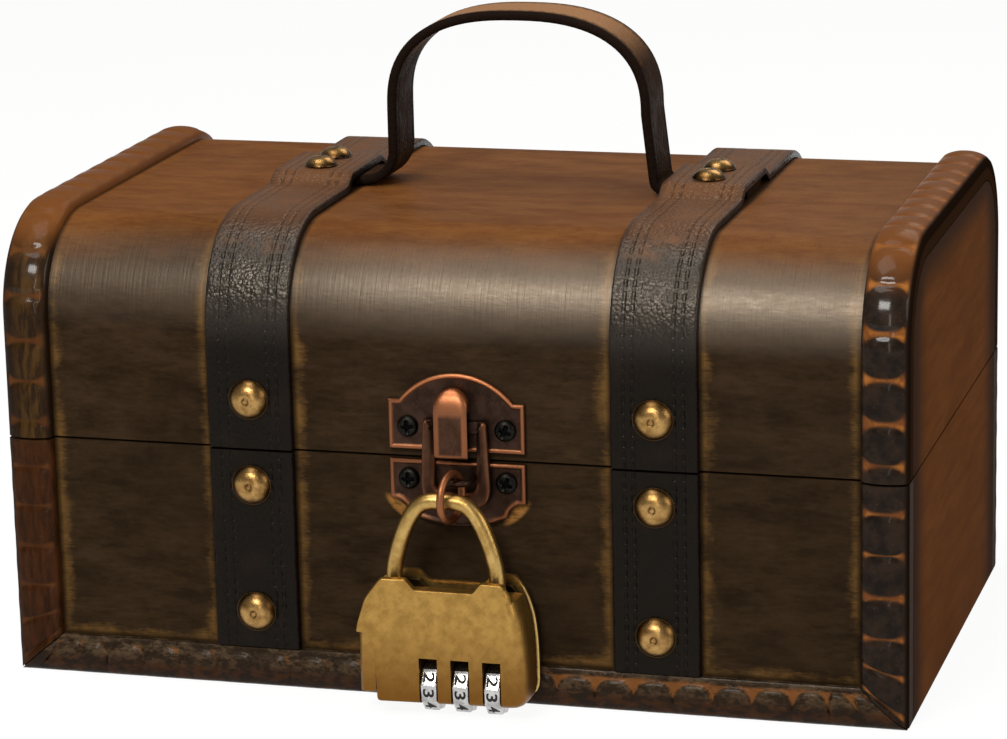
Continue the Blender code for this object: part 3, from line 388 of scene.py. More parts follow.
def bar_between(rows, closed_path=False, names=("mark",)):
    """A closed bar through rows of (point, value, ...). The mesh keeps the named values."""
    bm = bmesh.new()
    layers = [bm.verts.layers.float.new(name) for name in names]
    rings = []
    for row in rows:
        rings.append([bm.verts.new(point) for point, *_ in row])
        for vert, (_, *values) in zip(rings[-1], row):
            for layer, value in zip(layers, values):
                vert[layer] = value
    count = len(rings[0])
    for here, there in zip(rings, rings[1:] + rings[:closed_path]):
        for i in range(count):
            j = (i + 1) % count
            bm.faces.new((here[i], here[j], there[j], there[i]))
    if not closed_path:
        bm.faces.new(rings[0])
        bm.faces.new(rings[-1][::-1])
    return bm


board_thick, rows = 0.004, []
for k in range(301):
    (y, z), (ny, nz) = over_lid(over_length * k / 300)
    inner = (y - ny * board_thick, z - nz * board_thick)
    rows.append([((-half_length, y, z),), ((half_length, y, z),), ((half_length, *inner),),
                 ((-half_length, *inner),)])
mesh_object("bowed_lid_board", bar_between(rows), lid_stain, "lid", ("lid_bowed_board",))


# The bead strips: soft wood carved into round pads, one after another, nailed and glued
# along every front and back edge. The pads are stained nearly black and polished, and
# the saddles between them are rubbed down to copper-brown wood.
proud, seat, glue_line = 0.00345, 0.0003, 0.00003


def smooth(value, low, high):
    t = min(max((value - low) / (high - low), 0.0), 1.0)
    return t * t * (3 - 2 * t)


def pads_at(along, t, pitch, phase, pad_share, across, seed):
    """Depth below the crown and bareness of the wood where round pads are carved."""
    bead = floor((along - phase) / pitch)
    wobble = noise.noise(Vector((bead * 1.7, seed * 3.1, 0.0)))
    a = (along - phase - (bead + 0.5 + 0.05 * wobble) * pitch) / (pitch * 0.5)
    b = abs(2 * t - 1)
    reach = (abs(a / (pad_share + 0.06 * wobble)) ** 2.8 + (b / across) ** 2.8) ** (1 / 2.8)
    pad = 1 - smooth(reach, 0.84, 1.08)
    bare = smooth(reach, 0.90, 1.26) * smooth(b, 1.0, 0.74)
    depth = 0.00075 * (1 - pad) * (1 - 0.45 * b) + 0.00026 * min(reach, 1.0) ** 2 * pad
    return depth, bare


def domes_at(along, t, pitch, phase, seed):
    """The same on the low strip, whose pads stand on its foot like a row of arches."""
    bead = floor((along - phase) / pitch)
    wobble = noise.noise(Vector((bead * 2.3, seed * 1.9, 0.5)))
    a = (along - phase - (bead + 0.5 + 0.04 * wobble) * pitch) / (pitch * 0.5)
    rise = max(t - 0.20, 0.0) / (0.62 + 0.05 * wobble)
    reach = (abs(a / 0.99) ** 3.0 + rise ** 2.6) ** 0.35
    rough = abs(noise.noise(Vector((along * 420, t * 5, seed))))
    depth = 0.00065 * smooth(reach, 0.94, 1.06) * smooth(t, 0.10, 0.40) * smooth(t, 1.02, 0.88)
    depth += 0.00022 * min(reach, 1.0) ** 2 + 0.00010 * rough
    copper = smooth(reach, 0.95, 1.06) * smooth(t, 0.34, 0.50) * smooth(t, 0.96, 0.80)
    left_share = 0.55 * smooth(a, 0.15, 0.45) * smooth(a, 1.0, 0.85)
    return depth, copper * (left_share + (1 - left_share) * smooth(along, 0.010, 0.030))


def carved_section(along, wide, carving, carving_sizes):
    """Points (across, out, bareness) over a strip's face at one place."""
    points, steps = [(0.0, glue_line, 0.0)], 16
    for i in range(steps + 1):
        t = i / steps
        depth, bare = carving(along, t, *carving_sizes)
        b = abs(2 * t - 1)
        crown = 0.00125 * b ** 2.3 + 0.00055 * max(0.0, (b - 0.86) / 0.14) ** 2
        inward = 0.7 * max(depth - 0.00026, 0.0) * b ** 6 * (1 if t < 0.5 else -1)
        out_by = proud - 0.00004 - crown - depth * (1 - 0.6 * b ** 6)
        points.append((wide * t + inward, out_by, bare))
    return points + [(wide, glue_line, 0.0)]


def kept(tree, name):
    """A value that the mesh keeps for each of its points."""
    return made(tree, "ShaderNodeAttribute", output="Fac", attribute_name=name)


strip_material, shader, place = new_material("carved_strip", coat_roughness=0.12)
x, y, z = parts_of(place)
blotch, speck = spots(place, 260, 3.0), spots(place, 1500, 2.0)
worn, streak = spots(place, 70, 3.0, 0.55), spots(place, (700, 140, 140), 4.0, 0.65)
leftward, on_face = x.ramp(-0.0990, -0.1010), abs(x).ramp(0.1123, 0.1114)
# Painted light: on top of the lid the strips are painted a lighter copper-brown, where they catch
# the light, as the lid's top is.
high = (worn * 0.008 + z).ramp(0.1080, 0.1175)
patina = x.ramp(-0.1112, -0.1066) * x.ramp(-0.1014, -0.1032) * streak.ramp(0.36, 0.64, 0.10, 0.90)
golden = blend(patina, (0.013, 0.0062, 0.0024), (0.068, 0.033, 0.0082))
russet = blend(streak.ramp(0.25, 0.75), (0.018, 0.0062, 0.0018), (0.052, 0.0165, 0.0040))
black = blend(blotch.ramp(0.35, 0.65), (0.0085, 0.0052, 0.0034), (0.023, 0.0130, 0.0075))
black = blend(leftward, black, blend(z.ramp(0.0590, 0.0612), russet, golden))
black = blend(high * 0.92, black, (0.150, 0.052, 0.0125))
copper = blend(blotch.ramp(0.36, 0.60), (0.330, 0.118, 0.022), (0.145, 0.046, 0.011))
copper = blend(leftward * 0.85, copper, (0.052, 0.0185, 0.0055))
copper = blend(high * 0.45, copper, (0.230, 0.085, 0.020))
edge = blotch * 0.70 + (kept(place.tree, "bare") - 0.35)
colour = blend(edge.ramp(0.12, 0.92), black, copper)
colour = blend(speck.ramp(0.62, 0.76, 0.0, 0.30), colour, (0.100, 0.046, 0.015))
bend_glow = z.ramp(0.090, 0.099) * z.ramp(0.1135, 0.1050)
give(shader, base_color=blend(on_face, (0.013, 0.007, 0.004), colour),
     coat_weight=on_face * (bend_glow * 0.22 + (leftward * -0.05 + 0.10)),
     specular_ior_level=on_face * 0.04,
     roughness=(worn + speck * 0.4).ramp(0.45, 0.95, 0.26, 0.50))
bumped(shader, speck * 0.30 + blotch, 0.00022, 0.8)

foot_strip_material, shader, place = new_material(
    "foot_strip", specular_ior_level=0.10, specular_tint=(1.0, 0.80, 0.60, 1.0),
    coat_weight=0.045, coat_roughness=0.13)
blotch = spots(place, (220, 420, 420), 3.0)
speck = spots(place, (900, 1700, 1700), 3.0, 0.65)
mottled = speck * 0.6 + blotch
upper = blend(mottled.ramp(0.70, 0.98), (0.017, 0.0098, 0.0052), (0.064, 0.041, 0.0225))
rusty = blend(blotch.ramp(0.40, 0.62), (0.012, 0.0065, 0.0040), (0.040, 0.0145, 0.0050))
colour = blend(parts_of(place)[2].ramp(0.0028, 0.0066), rusty, upper)
edge = speck * 0.5 + (blotch * 1.5 + (kept(place.tree, "bare") - 0.80) - 0.25)
colour = blend(edge.ramp(0.15, 1.00, 0.0, 0.9), colour, (0.165, 0.060, 0.015))
give(shader, base_color=colour, roughness=speck.ramp(0.30, 0.70, 0.24, 0.52))
bumped(shader, mottled, 0.00030, 0.9)


def carved_strip(name, body, length, steps, width, carving, carving_sizes, put,
                 material=strip_material, start=0.0):
    """A strip of carved sections. put gives the place of a point (along, across, out)."""
    rows = []
    for k in range(steps + 1):
        s = start + length * k / steps
        rows.append([(put(s, a, o), bare)
                     for a, o, bare in carved_section(s, width, carving, carving_sizes)])
    mesh_object(name.replace("bead_strip", "carved_strip"),
                bar_between(rows, names=("bare",)), material, body, (name,))


def strip_over(name, sign, seed):
    """A strip from the lid's front edge, over the top and down to its back edge."""
    def put(s, a, o):
        (y, z), (ny, nz) = over_lid(s)
        return sign * (half_length - a), y + ny * o, z + nz * o
    carved_strip(name, "lid", over_length, 22 * 16, strip_width, pads_at,
                 (over_length / 21, 0.004, 0.86, 0.90, seed), put)


def strip_upright(name, sign, out_sign, seed):
    """A strip up a base corner, mitred at its foot where the low strip meets it."""
    bends_at = 0.020

    def put(s, a, o):
        start = a * foot_height / strip_width + seat * 0.6
        z = s if s > bends_at else bends_at - (bends_at - s) * (bends_at - start) / bends_at
        return sign * (half_length - a), out_sign * (face + o), z
    carved_strip(name, "base", top_of_base, 6 * 16, strip_width, pads_at,
                 (0.0102, 0.0022, 0.90, 1.04, seed), put)


def strip_low(name, out_sign, seed):
    """The strip along the foot of the front or back, mitred at both ends."""
    bends_at = half_length - 0.022

    def put(x, a, o):
        end = half_length - a * strip_width / foot_height - seat * 0.6
        reach = abs(x)
        if reach > bends_at:
            reach = bends_at + (reach - bends_at) * (end - bends_at) / (half_length - bends_at)
        return copysign(reach, x), out_sign * (face + o), a
    carved_strip(name, "base", 2 * half_length, 24 * 20, foot_height, domes_at,
                 (0.00966, -0.10827, seed), put, foot_strip_material, -half_length)


for number, (side, sign) in enumerate((("left", -1), ("right", 1))):
    strip_over(f"lid_{side}_bead_strip", sign, number + 1)
    for face_name, out_sign in (("front", -1), ("back", 1)):
        strip_upright(f"base_{face_name}_{side}_bead_strip", sign, out_sign,
                      number + 3 + out_sign)
for face_name, out_sign in (("front", -1), ("back", 1)):
    strip_low(f"base_{face_name}_foot_bead_strip", out_sign, 8 + out_sign)


# The straps: black-brown leather, its face glazed and pebbled, with two stitched lines
# pressed in near each edge. They are nailed down and cut through where the lid opens,
# and on top of the lid they hump over the ends of the handle.
leather_face, given, out = new_group(
    "glazed_leather", [("Place", "Vector", None), ("Pebbles", "Float", 900.0)],
    [("Height", "Float"), ("Wear", "Float"), ("Roughness", "Float")])
cells = made(leather_face, "ShaderNodeTexVoronoi",
             {"Vector": given["Place"], "Scale": given["Pebbles"]}, feature="F1")
creases = spots(given["Place"], (700, 240, 240), 4.0, 0.65)
scuffs = spots(given["Place"], 90)
plug(out, {"Height": creases * 1.5 + cells * -0.9, "Wear": scuffs.ramp(0.50, 0.74),
           "Roughness": (scuffs + creases * 0.5).ramp(0.50, 1.0, 0.24, 0.50)})

stitched, given, out = new_group(
    "pressed_stitches", [("Across", "Float", 0.0), ("Along", "Float", 0.0),
                         ("Half", "Float", 0.01), ("Inset", "Float", 0.003)],
    [("Groove", "Float")])
stitch_pitch = 0.0027
off = abs(given["Half"] - abs(given["Across"]) - given["Inset"])
dash = (given["Along"] * (tau / stitch_pitch)).math("SINE").ramp(-0.55, 0.25, 0.30, 1.0)
plug(out, {"Groove": off.ramp(0.00060, 0.00015) * dash})


def leather_material(name, colours, painted_top_light, painted_light_levels, half_width, insets, pebbles, rim_colour,
                     gloss, matt):
    """Leather with a stitched line at each inset, painted warmer and lighter above two given
    levels: painted light on its top.
    """
    material, shader, place = new_material(name, specular_tint=(1.0, 0.86, 0.72, 1.0))
    tree, z = place.tree, parts_of(place)[2]
    skin = use_group(tree, leather_face, {"Place": place, "Pebbles": pebbles})
    lines = [use_group(tree, stitched, {"Across": kept(tree, "across"), "Inset": inset,
                                        "Along": kept(tree, "along"), "Half": half_width})
             for inset in insets]
    groove = lines[0]["Groove"].math("MAXIMUM", lines[-1]["Groove"])
    level = skin["Wear"] * 0.004 + z
    colour = blend(skin["Wear"] * 0.55, *colours)
    # Painted light: above the given levels the leather is painted warmer and lighter, where its top
    # catches the light.
    colour = blend(level.ramp(*painted_light_levels, 0.0, 0.9), colour, painted_top_light)
    colour = blend(kept(tree, "rim"), colour, rim_colour)
    shiny = z.ramp(0.084, 0.098, 0.2 * gloss, gloss) * z.ramp(0.1165, 0.1110, 0.45, 1.0)
    give(shader, base_color=blend(groove * 0.35, colour, (0.004, 0.003, 0.003)),
         roughness=skin["Roughness"] + matt, specular_ior_level=shiny)
    pebbled = bumped(shader, skin["Height"], 0.00022, 0.75)
    bumped(shader, groove * -1.0, 0.00030, 0.9, pebbled)
    return material


strap_thick, lift = 0.0018, 0.0027
strap_middles = {"left": -0.04909, "right": 0.05179}
strap_leather = leather_material(
    "strap_leather", ((0.0048, 0.0036, 0.0027), (0.013, 0.0088, 0.0058)),
    (0.128, 0.051, 0.0175), (0.1090, 0.1180), strap_width / 2, (0.0034, 0.0056), 1100.0,
    (0.006, 0.004, 0.004), 0.55, 0.02)


def leather_ring(half, thick, steps=12):
    """A strap's section: points (across, out, rim) with rounded upper edges."""
    corner = thick * 0.40
    upper = []
    for i in range(5):
        a = pi / 2 * i / 4
        upper.append((half - corner * (1 - sin(a)), thick - corner * (1 - cos(a))))
    upper = [(a, o, 1.0 if o < thick * 0.8 else 0.4) for a, o in upper]
    middle = [(-half + corner + (2 * half - 2 * corner) * i / steps, thick, 0.0)
              for i in range(1, steps)]
    left = [(-a, o, rim) for a, o, rim in reversed(upper)]
    return [(-half, 0.0, 1.0)] + left + middle + upper + [(half, 0.0, 1.0)]


def leather_bar(name, stations, section, half, thick, material, body, replaced, uneven=0.0):
    """A leather strap of one section through stations of (place, across, out, distance)."""
    rows = []
    for place, across, outward, s in stations:
        wave = uneven * 0.00012 * noise.noise(Vector((s * 120, half * 900, place.x * 40)))
        row = []
        for a, o, rim in section(half, thick):
            dent = 0.0
            if uneven and o >= thick:
                dent = abs(0.00006 * noise.noise(Vector((s * 300, a * 300, place.x * 50))))
            point = place + across * (a * (1 - abs(wave) / half)) + outward * (o - dent)
            row.append((point, a, s, rim))
        rows.append(row)
    mesh_object(name, bar_between(rows, names=("across", "along", "rim")), material, body,
                replaced)


def tab_lift(y):
    """How far the strap rises where the handle's end lies beneath it."""
    return lift * smooth(abs(y + 0.0010) - 0.01125, 0.0060, 0.0)


for side, middle in strap_middles.items():
    stations = []
    for k in range(171):
        s = over_length * k / 170
        (y, z), (ny, nz) = over_lid(s)
        up = seat + (tab_lift(y) if z > skin_top - 1e-6 else 0.0)
        stations.append((Vector((middle, y + ny * up, z + nz * up)), Vector((1, 0, 0)),
                         Vector((0, ny, nz)), s))
    leather_bar(f"lid_{side}_leather", stations, leather_ring, strap_width / 2, strap_thick,
                strap_leather, "lid", (f"lid_{side}_strap",), 1.0)
    for face_name, out_sign in (("front", -1), ("back", 1)):
        low = foot_height + seat
        stations = [(Vector((middle, out_sign * (face + seat), low + (top_of_base - low) * k / 40)),
                     Vector((1, 0, 0)), Vector((0, out_sign, 0)), 0.3 + 0.05 * k / 40)
                    for k in range(41)]
        leather_bar(f"base_{face_name}_{side}_leather", stations, leather_ring, strap_width / 2,
                    strap_thick, strap_leather, "base", (f"base_{face_name}_{side}_strap",), 1.0)


# The handle: one thick leather strip, folded over its core and bent into an arch, whose
# two ends turn outwards and are nailed flat under the straps.
handle_wide, handle_thick = 0.0165, 0.0024
handle_leather = leather_material(
    "handle_leather", ((0.026, 0.0120, 0.0060), (0.062, 0.031, 0.0150)),
    (0.300, 0.158, 0.0780), (0.145, 0.158), handle_wide / 2, (0.0026,), 1000.0,
    (0.010, 0.0055, 0.004), 0.05, 0.22)
foot_level = skin_top + seat + handle_thick / 2
arch_low, arch_high = -0.02974, 0.03599
arch_middle, arch_half = (arch_low + arch_high) / 2, (arch_high - arch_low) / 2
spring_level, arch_rise = 0.1340, 0.0241
left_end, right_end, left_turn, right_turn = -0.05894, 0.06164, 0.0078, 0.0026


def bow(x, z, radius, start, end, steps):
    """Points along a round stretch, in degrees."""
    angles = [radians(start + (end - start) * i / steps) for i in range(steps + 1)]
    return [(x + radius * cos(a), z + radius * sin(a)) for a in angles]


line = [(left_end, foot_level)]
line += bow(arch_low - left_turn, foot_level + left_turn, left_turn, -90, 0, 10)
for i in range(49):
    t = pi * (1 - i / 48)
    across = copysign(abs(cos(t)) ** 0.8, cos(t))
    line.append((arch_middle + arch_half * across,
                 spring_level + arch_rise * abs(sin(t)) ** 0.8))
line += bow(arch_high + 0.0044, foot_level + right_turn, right_turn, 180, 270, 8)
line.append((right_end, foot_level))
stations, run = [], 0.0
for i, (x, z) in enumerate(line):
    before, after = line[max(i - 1, 0)], line[min(i + 1, len(line) - 1)]
    along = Vector((after[0] - before[0], 0, after[1] - before[1])).normalized()
    outward = Vector((-along.z, 0, along.x))
    if i:
        run += dist(line[i - 1], line[i])
    stations.append((Vector((x, 0, z)) - outward * handle_thick / 2, Vector((0, 1, 0)), outward,
                     run))


def handle_ring(half, thick):
    """A section of points (across, out, rim), rounded on all four edges."""
    corner = thick * 0.42
    a, low, high = half - corner, corner, thick - corner
    ring = []
    for middle_a, middle_o, start, flat_side, level in (
            (a, high, 90, 0, 0.0), (a, low, 0, -1, 0.0), (-a, low, -90, 0, 0.0),
            (-a, high, -180, 1, thick)):
        for u, o in bow(middle_a, middle_o, corner, start, start - 90, 4):
            ring.append((u, o, 1.0))
        if flat_side:
            ring += [(-flat_side * a * (1 - 2 * i / 8), level, 0.0) for i in range(1, 8)]
    return ring


leather_bar("leather_handle", stations, handle_ring, handle_wide / 2, handle_thick,
            handle_leather, "lid", ("carry_handle",))


# The nails: antique brass domes with a rolled rim and a small ring stamped in the
# middle, driven through the straps. Four smaller ones hold the handle's ends.
def spun(name, profile, place, axis, material, body, replaced, steps, shape=None):
    """Spins a profile of (radius, height, mark) about an axis, head first."""
    bm = bmesh.new()
    layer = bm.verts.layers.float.new("mark")
    turn = Vector((0, 0, 1)).rotation_difference(Vector(axis)).to_matrix()
    rows = []
    for radius, height, mark in profile:
        row = []
        for i in range(steps if radius > 1e-6 else 1):
            a = tau * i / steps
            sunk = shape(radius, a) if shape else 0.0
            flat = Vector((radius * cos(a), radius * sin(a), height - sunk))
            vert = bm.verts.new(Vector(place) + turn @ flat)
            vert[layer] = max(mark, min(sunk * 2500, 1.0))
            row.append(vert)
        rows.append(row)
    for here, there in zip(rows, rows[1:]):
        for i in range(steps):
            j = (i + 1) % steps
            corners = [here[i % len(here)], here[j % len(here)], there[j % len(there)],
                       there[i % len(there)]]
            bm.faces.new(list(dict.fromkeys(corners)))
    mesh_object(name, bm, material, body, replaced)


metal_face, given, out = new_group(
    "worn_metal", [("Place", "Vector", None), ("Mark", "Float", 0.0), ("Dark", "Color", None),
                   ("Middle", "Color", None), ("Bright", "Color", None), ("Slant", "Float", 0.6),
                   ("Scratched", "Float", 0.3), ("Shine", "Float", 0.3)],
    [("Colour", "Color"), ("Roughness", "Float"), ("Height", "Float")])
slanted, crossed = (made(metal_face, "ShaderNodeVectorRotate",
                         {"Vector": given["Place"], "Angle": angle}, rotation_type="Y_AXIS")
                    for angle in (given["Slant"], -0.9))
tarnish = spots(given["Place"], 340, 4.0, 0.62)
grit = spots(given["Place"], 2600, 2.0)
lines = spots(slanted, (420, 420, 5200), 3.0)
thin = spots(crossed, (260, 260, 5200), 2.0, 0.5)
scratch = lines.ramp(0.52, 0.76).math("MAXIMUM", thin.ramp(0.62, 0.76, 0.0, 0.6))
scratch = scratch * given["Scratched"]
colour = blend(tarnish.ramp(0.32, 0.70, 0.0, 0.85), given["Middle"], given["Dark"])
colour = blend(scratch, colour, given["Bright"])
plug(out, {"Colour": blend(given["Mark"], colour, given["Bright"]),
           "Roughness": tarnish * 0.16 + (grit * 0.14 + given["Shine"]),
           "Height": scratch * -0.8 + grit})


def metal_material(name, dark, middle, bright, shine, scratched=0.3, slant=0.6, bump=0.00006,
                   low=None):
    """A worn metal; low is the heights between which it is painted darker downwards, as painted
    shade, and the colour.
    """
    material, shader, place = new_material(name, metallic=1.0)
    metal = use_group(place.tree, metal_face, {
        "Place": place, "Mark": kept(place.tree, "mark"), "Dark": (*dark, 1),
        "Middle": (*middle, 1), "Bright": (*bright, 1), "Slant": slant,
        "Scratched": scratched, "Shine": shine})
    colour = metal["Colour"]
    # Painted shade: darker towards the bottom.
    if low:
        colour = blend(parts_of(place)[2].ramp(low[1], low[0], 0.0, 0.95), colour, low[2])
    give(shader, base_color=colour, roughness=metal["Roughness"])
    bumped(shader, metal["Height"], bump, 0.7)
    return material


nail_brass = metal_material("nail_brass", (0.200, 0.100, 0.028), (0.500, 0.300, 0.105),
                            (0.060, 0.027, 0.009), 0.15)
# Towards the rim the marks darken the dome (nail_brass's third colour is dark): tarnish, and
# painted shade on the dome's outer slope. The marks near the middle are the stamped ring.
nail_profile = ((0.0, 2.62, 0.0), (0.35, 2.62, 0.0), (0.60, 2.54, 0.6), (0.78, 2.46, 0.9),
                (0.98, 2.56, 0.3), (1.25, 2.62, 0.0), (1.7, 2.58, 0.0), (2.3, 2.45, 0.04),
                (2.9, 2.20, 0.12), (3.5, 1.83, 0.30), (4.0, 1.40, 0.50), (4.45, 0.88, 0.72),
                (4.75, 0.42, 0.9), (4.88, 0.16, 1.0), (4.97, 0.14, 0.7), (5.0, 0.05, 0.8),
                (4.9, 0.0, 1.0), (0.9, 0.0, 1.0), (0.85, -4.6, 1.0), (0.0, -5.0, 1.0))


def in_metres(profile, share, low):
    return [(r * share / 1000, h * low / 1000, mark) for r, h, mark in profile]


def nail(name, place, axis, body, share=1.0, low=1.0):
    spun(name.replace("_nail", "_brass_nail"), in_metres(nail_profile, share, low), place, axis,
         nail_brass, body, (name,), 48)


nail_seat = face + seat + strap_thick + seat
top_seat = skin_top + 2 * seat + strap_thick + lift + 0.0001
lid_row, base_upper_row, base_lower_row = 0.0730, 0.0515, 0.0192
for side, x in strap_middles.items():
    nail(f"lid_front_{side}_nail", (x, -nail_seat, lid_row), (0, -1, 0), "lid")
    nail(f"lid_back_{side}_nail", (x, nail_seat, lid_row), (0, 1, 0), "lid")
    nail(f"base_front_upper_{side}_nail", (x, -nail_seat, base_upper_row), (0, -1, 0), "base")
    nail(f"base_front_lower_{side}_nail", (x, -nail_seat, base_lower_row), (0, -1, 0), "base")
    nail(f"base_back_{side}_nail", (x, nail_seat, base_upper_row), (0, 1, 0), "base")
    for row, y in (("front", -0.0070), ("rear", 0.0050)):
        nail(f"lid_top_{row}_{side}_nail", (x, y, top_seat), (0, 0, 1), "lid", 0.84, 0.82)


# The latch: two plates stamped from thin sheet with a rolled rim, antique copper with
# dark fields. The lid's plate has a hooked tongue that holds the hasp's top bar, and
# four small cross-headed screws hold the plates.
def outline_inset(points, reaches):
    """An anticlockwise outline moved inwards, each point by its own reach."""
    moved = []
    for i, here in enumerate(points):
        before, after = points[i - 1], points[(i + 1) % len(points)]
        first = (here - before).normalized()
        second = (after - here).normalized()
        bisector = Vector((-first.y - second.y, first.x + second.x)).normalized()
        grow = max(bisector.dot(Vector((-first.y, first.x))), 0.55)
        moved.append(here + bisector * reaches[i] / grow)
    return moved


def pressed(name, outline, levels, material, body, replaced=(), soft=None, painted_rim_shading=None):
    """A plate whose levels of (inset, distance out of the face, mark) step over its rim; its last
    argument scales the marks at each point, to paint highlight and shade on the rim.
    """
    points = [Vector(p) for p in outline]
    soft = soft or [1.0] * len(points)
    rows = [[((p.x, -face - distance, p.y), mark * (painted_rim_shading(p) if painted_rim_shading else 1.0))
             for p in outline_inset(points, [inset * s for s in soft])]
            for inset, distance, mark in levels]
    return mesh_object(name, bar_between(rows), material, body, replaced)


def rounded(corners, steps=5):
    """An outline through (x, z, reach) corners, each rounded off by its reach."""
    points = []
    for i, (x, z, reach) in enumerate(corners):
        here = Vector((x, z))
        back = Vector(corners[i - 1][:2]) - here
        on = Vector(corners[(i + 1) % len(corners)][:2]) - here
        start = here + back.normalized() * min(reach, back.length * 0.48)
        end = here + on.normalized() * min(reach, on.length * 0.48)
        for k in range(steps + 1):
            t = k / steps
            points.append(start * (1 - t) ** 2 + here * 2 * t * (1 - t) + end * t ** 2)
    return points


latch_copper = metal_material("latch_copper", (0.022, 0.0130, 0.0095), (0.052, 0.029, 0.0205),
                              (0.440, 0.165, 0.070), 0.30, 0.10, 1.2)
latch_x, latch_half = 0.0030, 0.0170
rolled_rim = ((0.0, 0.0003, 0.3), (0.0, 0.00090, 0.5), (0.00012, 0.00122, 0.85),
              (0.00038, 0.00148, 1.0), (0.00070, 0.00150, 1.0), (0.00100, 0.00132, 0.7),
              (0.00125, 0.00104, 0.12), (0.00150, 0.00096, 0.0))
hasp_plate_foot, bow_rise, spring = 0.0624, 0.0069, latch_half - 0.0027
ear = hasp_plate_foot + 0.0124
bow_radius = (spring ** 2 + bow_rise ** 2) / (2 * bow_rise)
reach = degrees(asin(spring / bow_radius))
outline = [(latch_x - latch_half, hasp_plate_foot), (latch_x + latch_half, hasp_plate_foot),
           (latch_x + latch_half, ear)]
outline += bow(latch_x, ear + bow_rise - bow_radius, bow_radius, 90 - reach, 90 + reach, 24)
outline.append((latch_x - latch_half, ear))
# Painted highlight: the rim's copper is full on the top arch and weaker down the sides.
pressed("hasp_plate_rim", outline, rolled_rim, latch_copper, "lid", ("hasp_plate",),
        painted_rim_shading=lambda p: 0.55 + 0.45 * smooth(p.y, 0.0740, 0.0765))

scoop_wide, scoop_high, lobe = 0.0048, 0.0036, 0.0030
plate_low, side_reach = top_of_base - 0.0165, latch_half - scoop_wide
lobe_radius = (side_reach ** 2 + lobe ** 2) / (2 * lobe)
reach = degrees(asin(side_reach / lobe_radius))
right_scoop = [(latch_x + latch_half - scoop_wide * sin(a),
                plate_low + lobe + scoop_high * cos(a))
               for a in (pi / 2 * i / 8 for i in (0, 2, 3, 4, 5, 6, 8))]
left_scoop = [(2 * latch_x - x, z) for x, z in right_scoop]
lower = bow(latch_x, plate_low + lobe_radius, lobe_radius, 270 - reach, 270 + reach, 8)
outline = left_scoop + lower[1:-1] + right_scoop[::-1]
outline += [(latch_x + latch_half, top_of_base), (latch_x - latch_half, top_of_base)]
# Painted shade: the rim's copper is kept weak, and in the middle, behind the hasp, it is dropped.
pressed("staple_plate_rim", outline, rolled_rim, latch_copper, "base", ("staple_plate",),
        painted_rim_shading=lambda p: 0.45 * smooth(abs(p.x - latch_x), 0.0075, 0.0095))

tongue_x, tongue_half, tongue_foot = 0.0024, 0.00415, 0.0614
shoulder, tongue_top = 0.0726, 0.0782
levels = [tongue_foot + up for up in (0.0, 0.0002, 0.0006, 0.0011)]
levels += [tongue_foot + 0.0011 + (shoulder - tongue_foot - 0.0012) * i / 8 for i in range(1, 9)]
levels += [shoulder + (tongue_top - shoulder) * sin(pi / 2 * i / 12) for i in range(13)]
rows = []
for z in levels:
    over = max(z - (tongue_top - tongue_half), 0.0)
    half = max(sqrt(max(tongue_half ** 2 - over ** 2, 0.0)), 0.0003)
    rise = min(max((z - shoulder) / (tongue_top - shoulder), 0.0), 1.0)
    outer = 0.0014 + 0.0035 * sqrt(max(1 - rise ** 2.2, 0.0)) if rise else 0.0049
    inner = 0.0037 if z < shoulder else 0.0010
    foot_round = 0.0004 * (1 - min((z - tongue_foot) / 0.0006, 1.0)) ** 2
    row = []
    for i in range(17):
        u = -1 + i / 8
        drop = (0.0006 + 0.0006 * rise) * abs(u) ** 6
        hollow = 0.00018 * smooth(abs(u), 0.80, 0.62) * smooth(z, shoulder, shoulder - 0.0006)
        hollow *= smooth(z, tongue_foot + 0.0005, tongue_foot + 0.0012)
        out_by = max(outer - drop - hollow - foot_round, inner + 0.0001)
        # Its copper marks are half strength low down and full on the rounded top: worn copper, with
        # painted highlight on the top that faces the light.
        row.append(((tongue_x + half * u, -face - out_by, z),
                    0.06 if hollow > 0.0001 else 0.50 + 0.50 * rise))
    row += [((tongue_x + half * (1 - i / 2), -face - inner, z), 0.2) for i in range(5)]
    rows.append(row)
mesh_object("hasp_plate_tongue", bar_between(rows), latch_copper, "lid")


def both_sides(half_outline):
    """An outline of (x from the latch's middle, z, reach) corners, closed by its mirror."""
    return rounded([(latch_x + sign * x, z, reach)
                    for sign, half in ((-1, half_outline[:1]), (1, half_outline),
                                       (-1, half_outline[:0:-1])) for x, z, reach in half], 8)


hasp_outer = both_sides([(0.0089, 0.0482, 0.0068), (0.0079, 0.0703, 0.0008),
                         (0.0058, 0.0703, 0.0001)])
hasp_inner = both_sides([(0.00535, 0.0525, 0.0032), (0.0050, 0.0671, 0.0001),
                         (0.0046, 0.0669, 0.0001)])
rows = []
for share, distance, mark in ((0.0, 0.0018, 0.1), (0.0, 0.0028, 0.15), (0.03, 0.00315, 0.30),
                              (0.12, 0.0034, 0.18), (0.30, 0.0034, 0.08), (0.50, 0.0034, 0.06),
                              (0.72, 0.0034, 0.08), (0.90, 0.0034, 0.32), (0.98, 0.0031, 0.60),
                              (1.0, 0.0028, 0.45), (1.0, 0.0018, 0.1)):
    row = []
    for o, i in zip(hasp_outer, hasp_inner):
        p = o.lerp(i, share)
        # Painted shade: the top bar behind the tongue is set deeper and has no copper marks.
        in_bar = smooth(abs(p.x - latch_x), 0.0061, 0.0056) * smooth(p.y, 0.0655, 0.0670)
        out_by = max(distance - 0.0016 * in_bar, 0.0018 - 0.0010 * in_bar)
        row.append(((p.x, -face - out_by, p.y), mark * (1 - in_bar)))
    rows.append(row)
mesh_object("hasp_loop", bar_between(rows, True), latch_copper, "hasp", ("hasp_arm",))


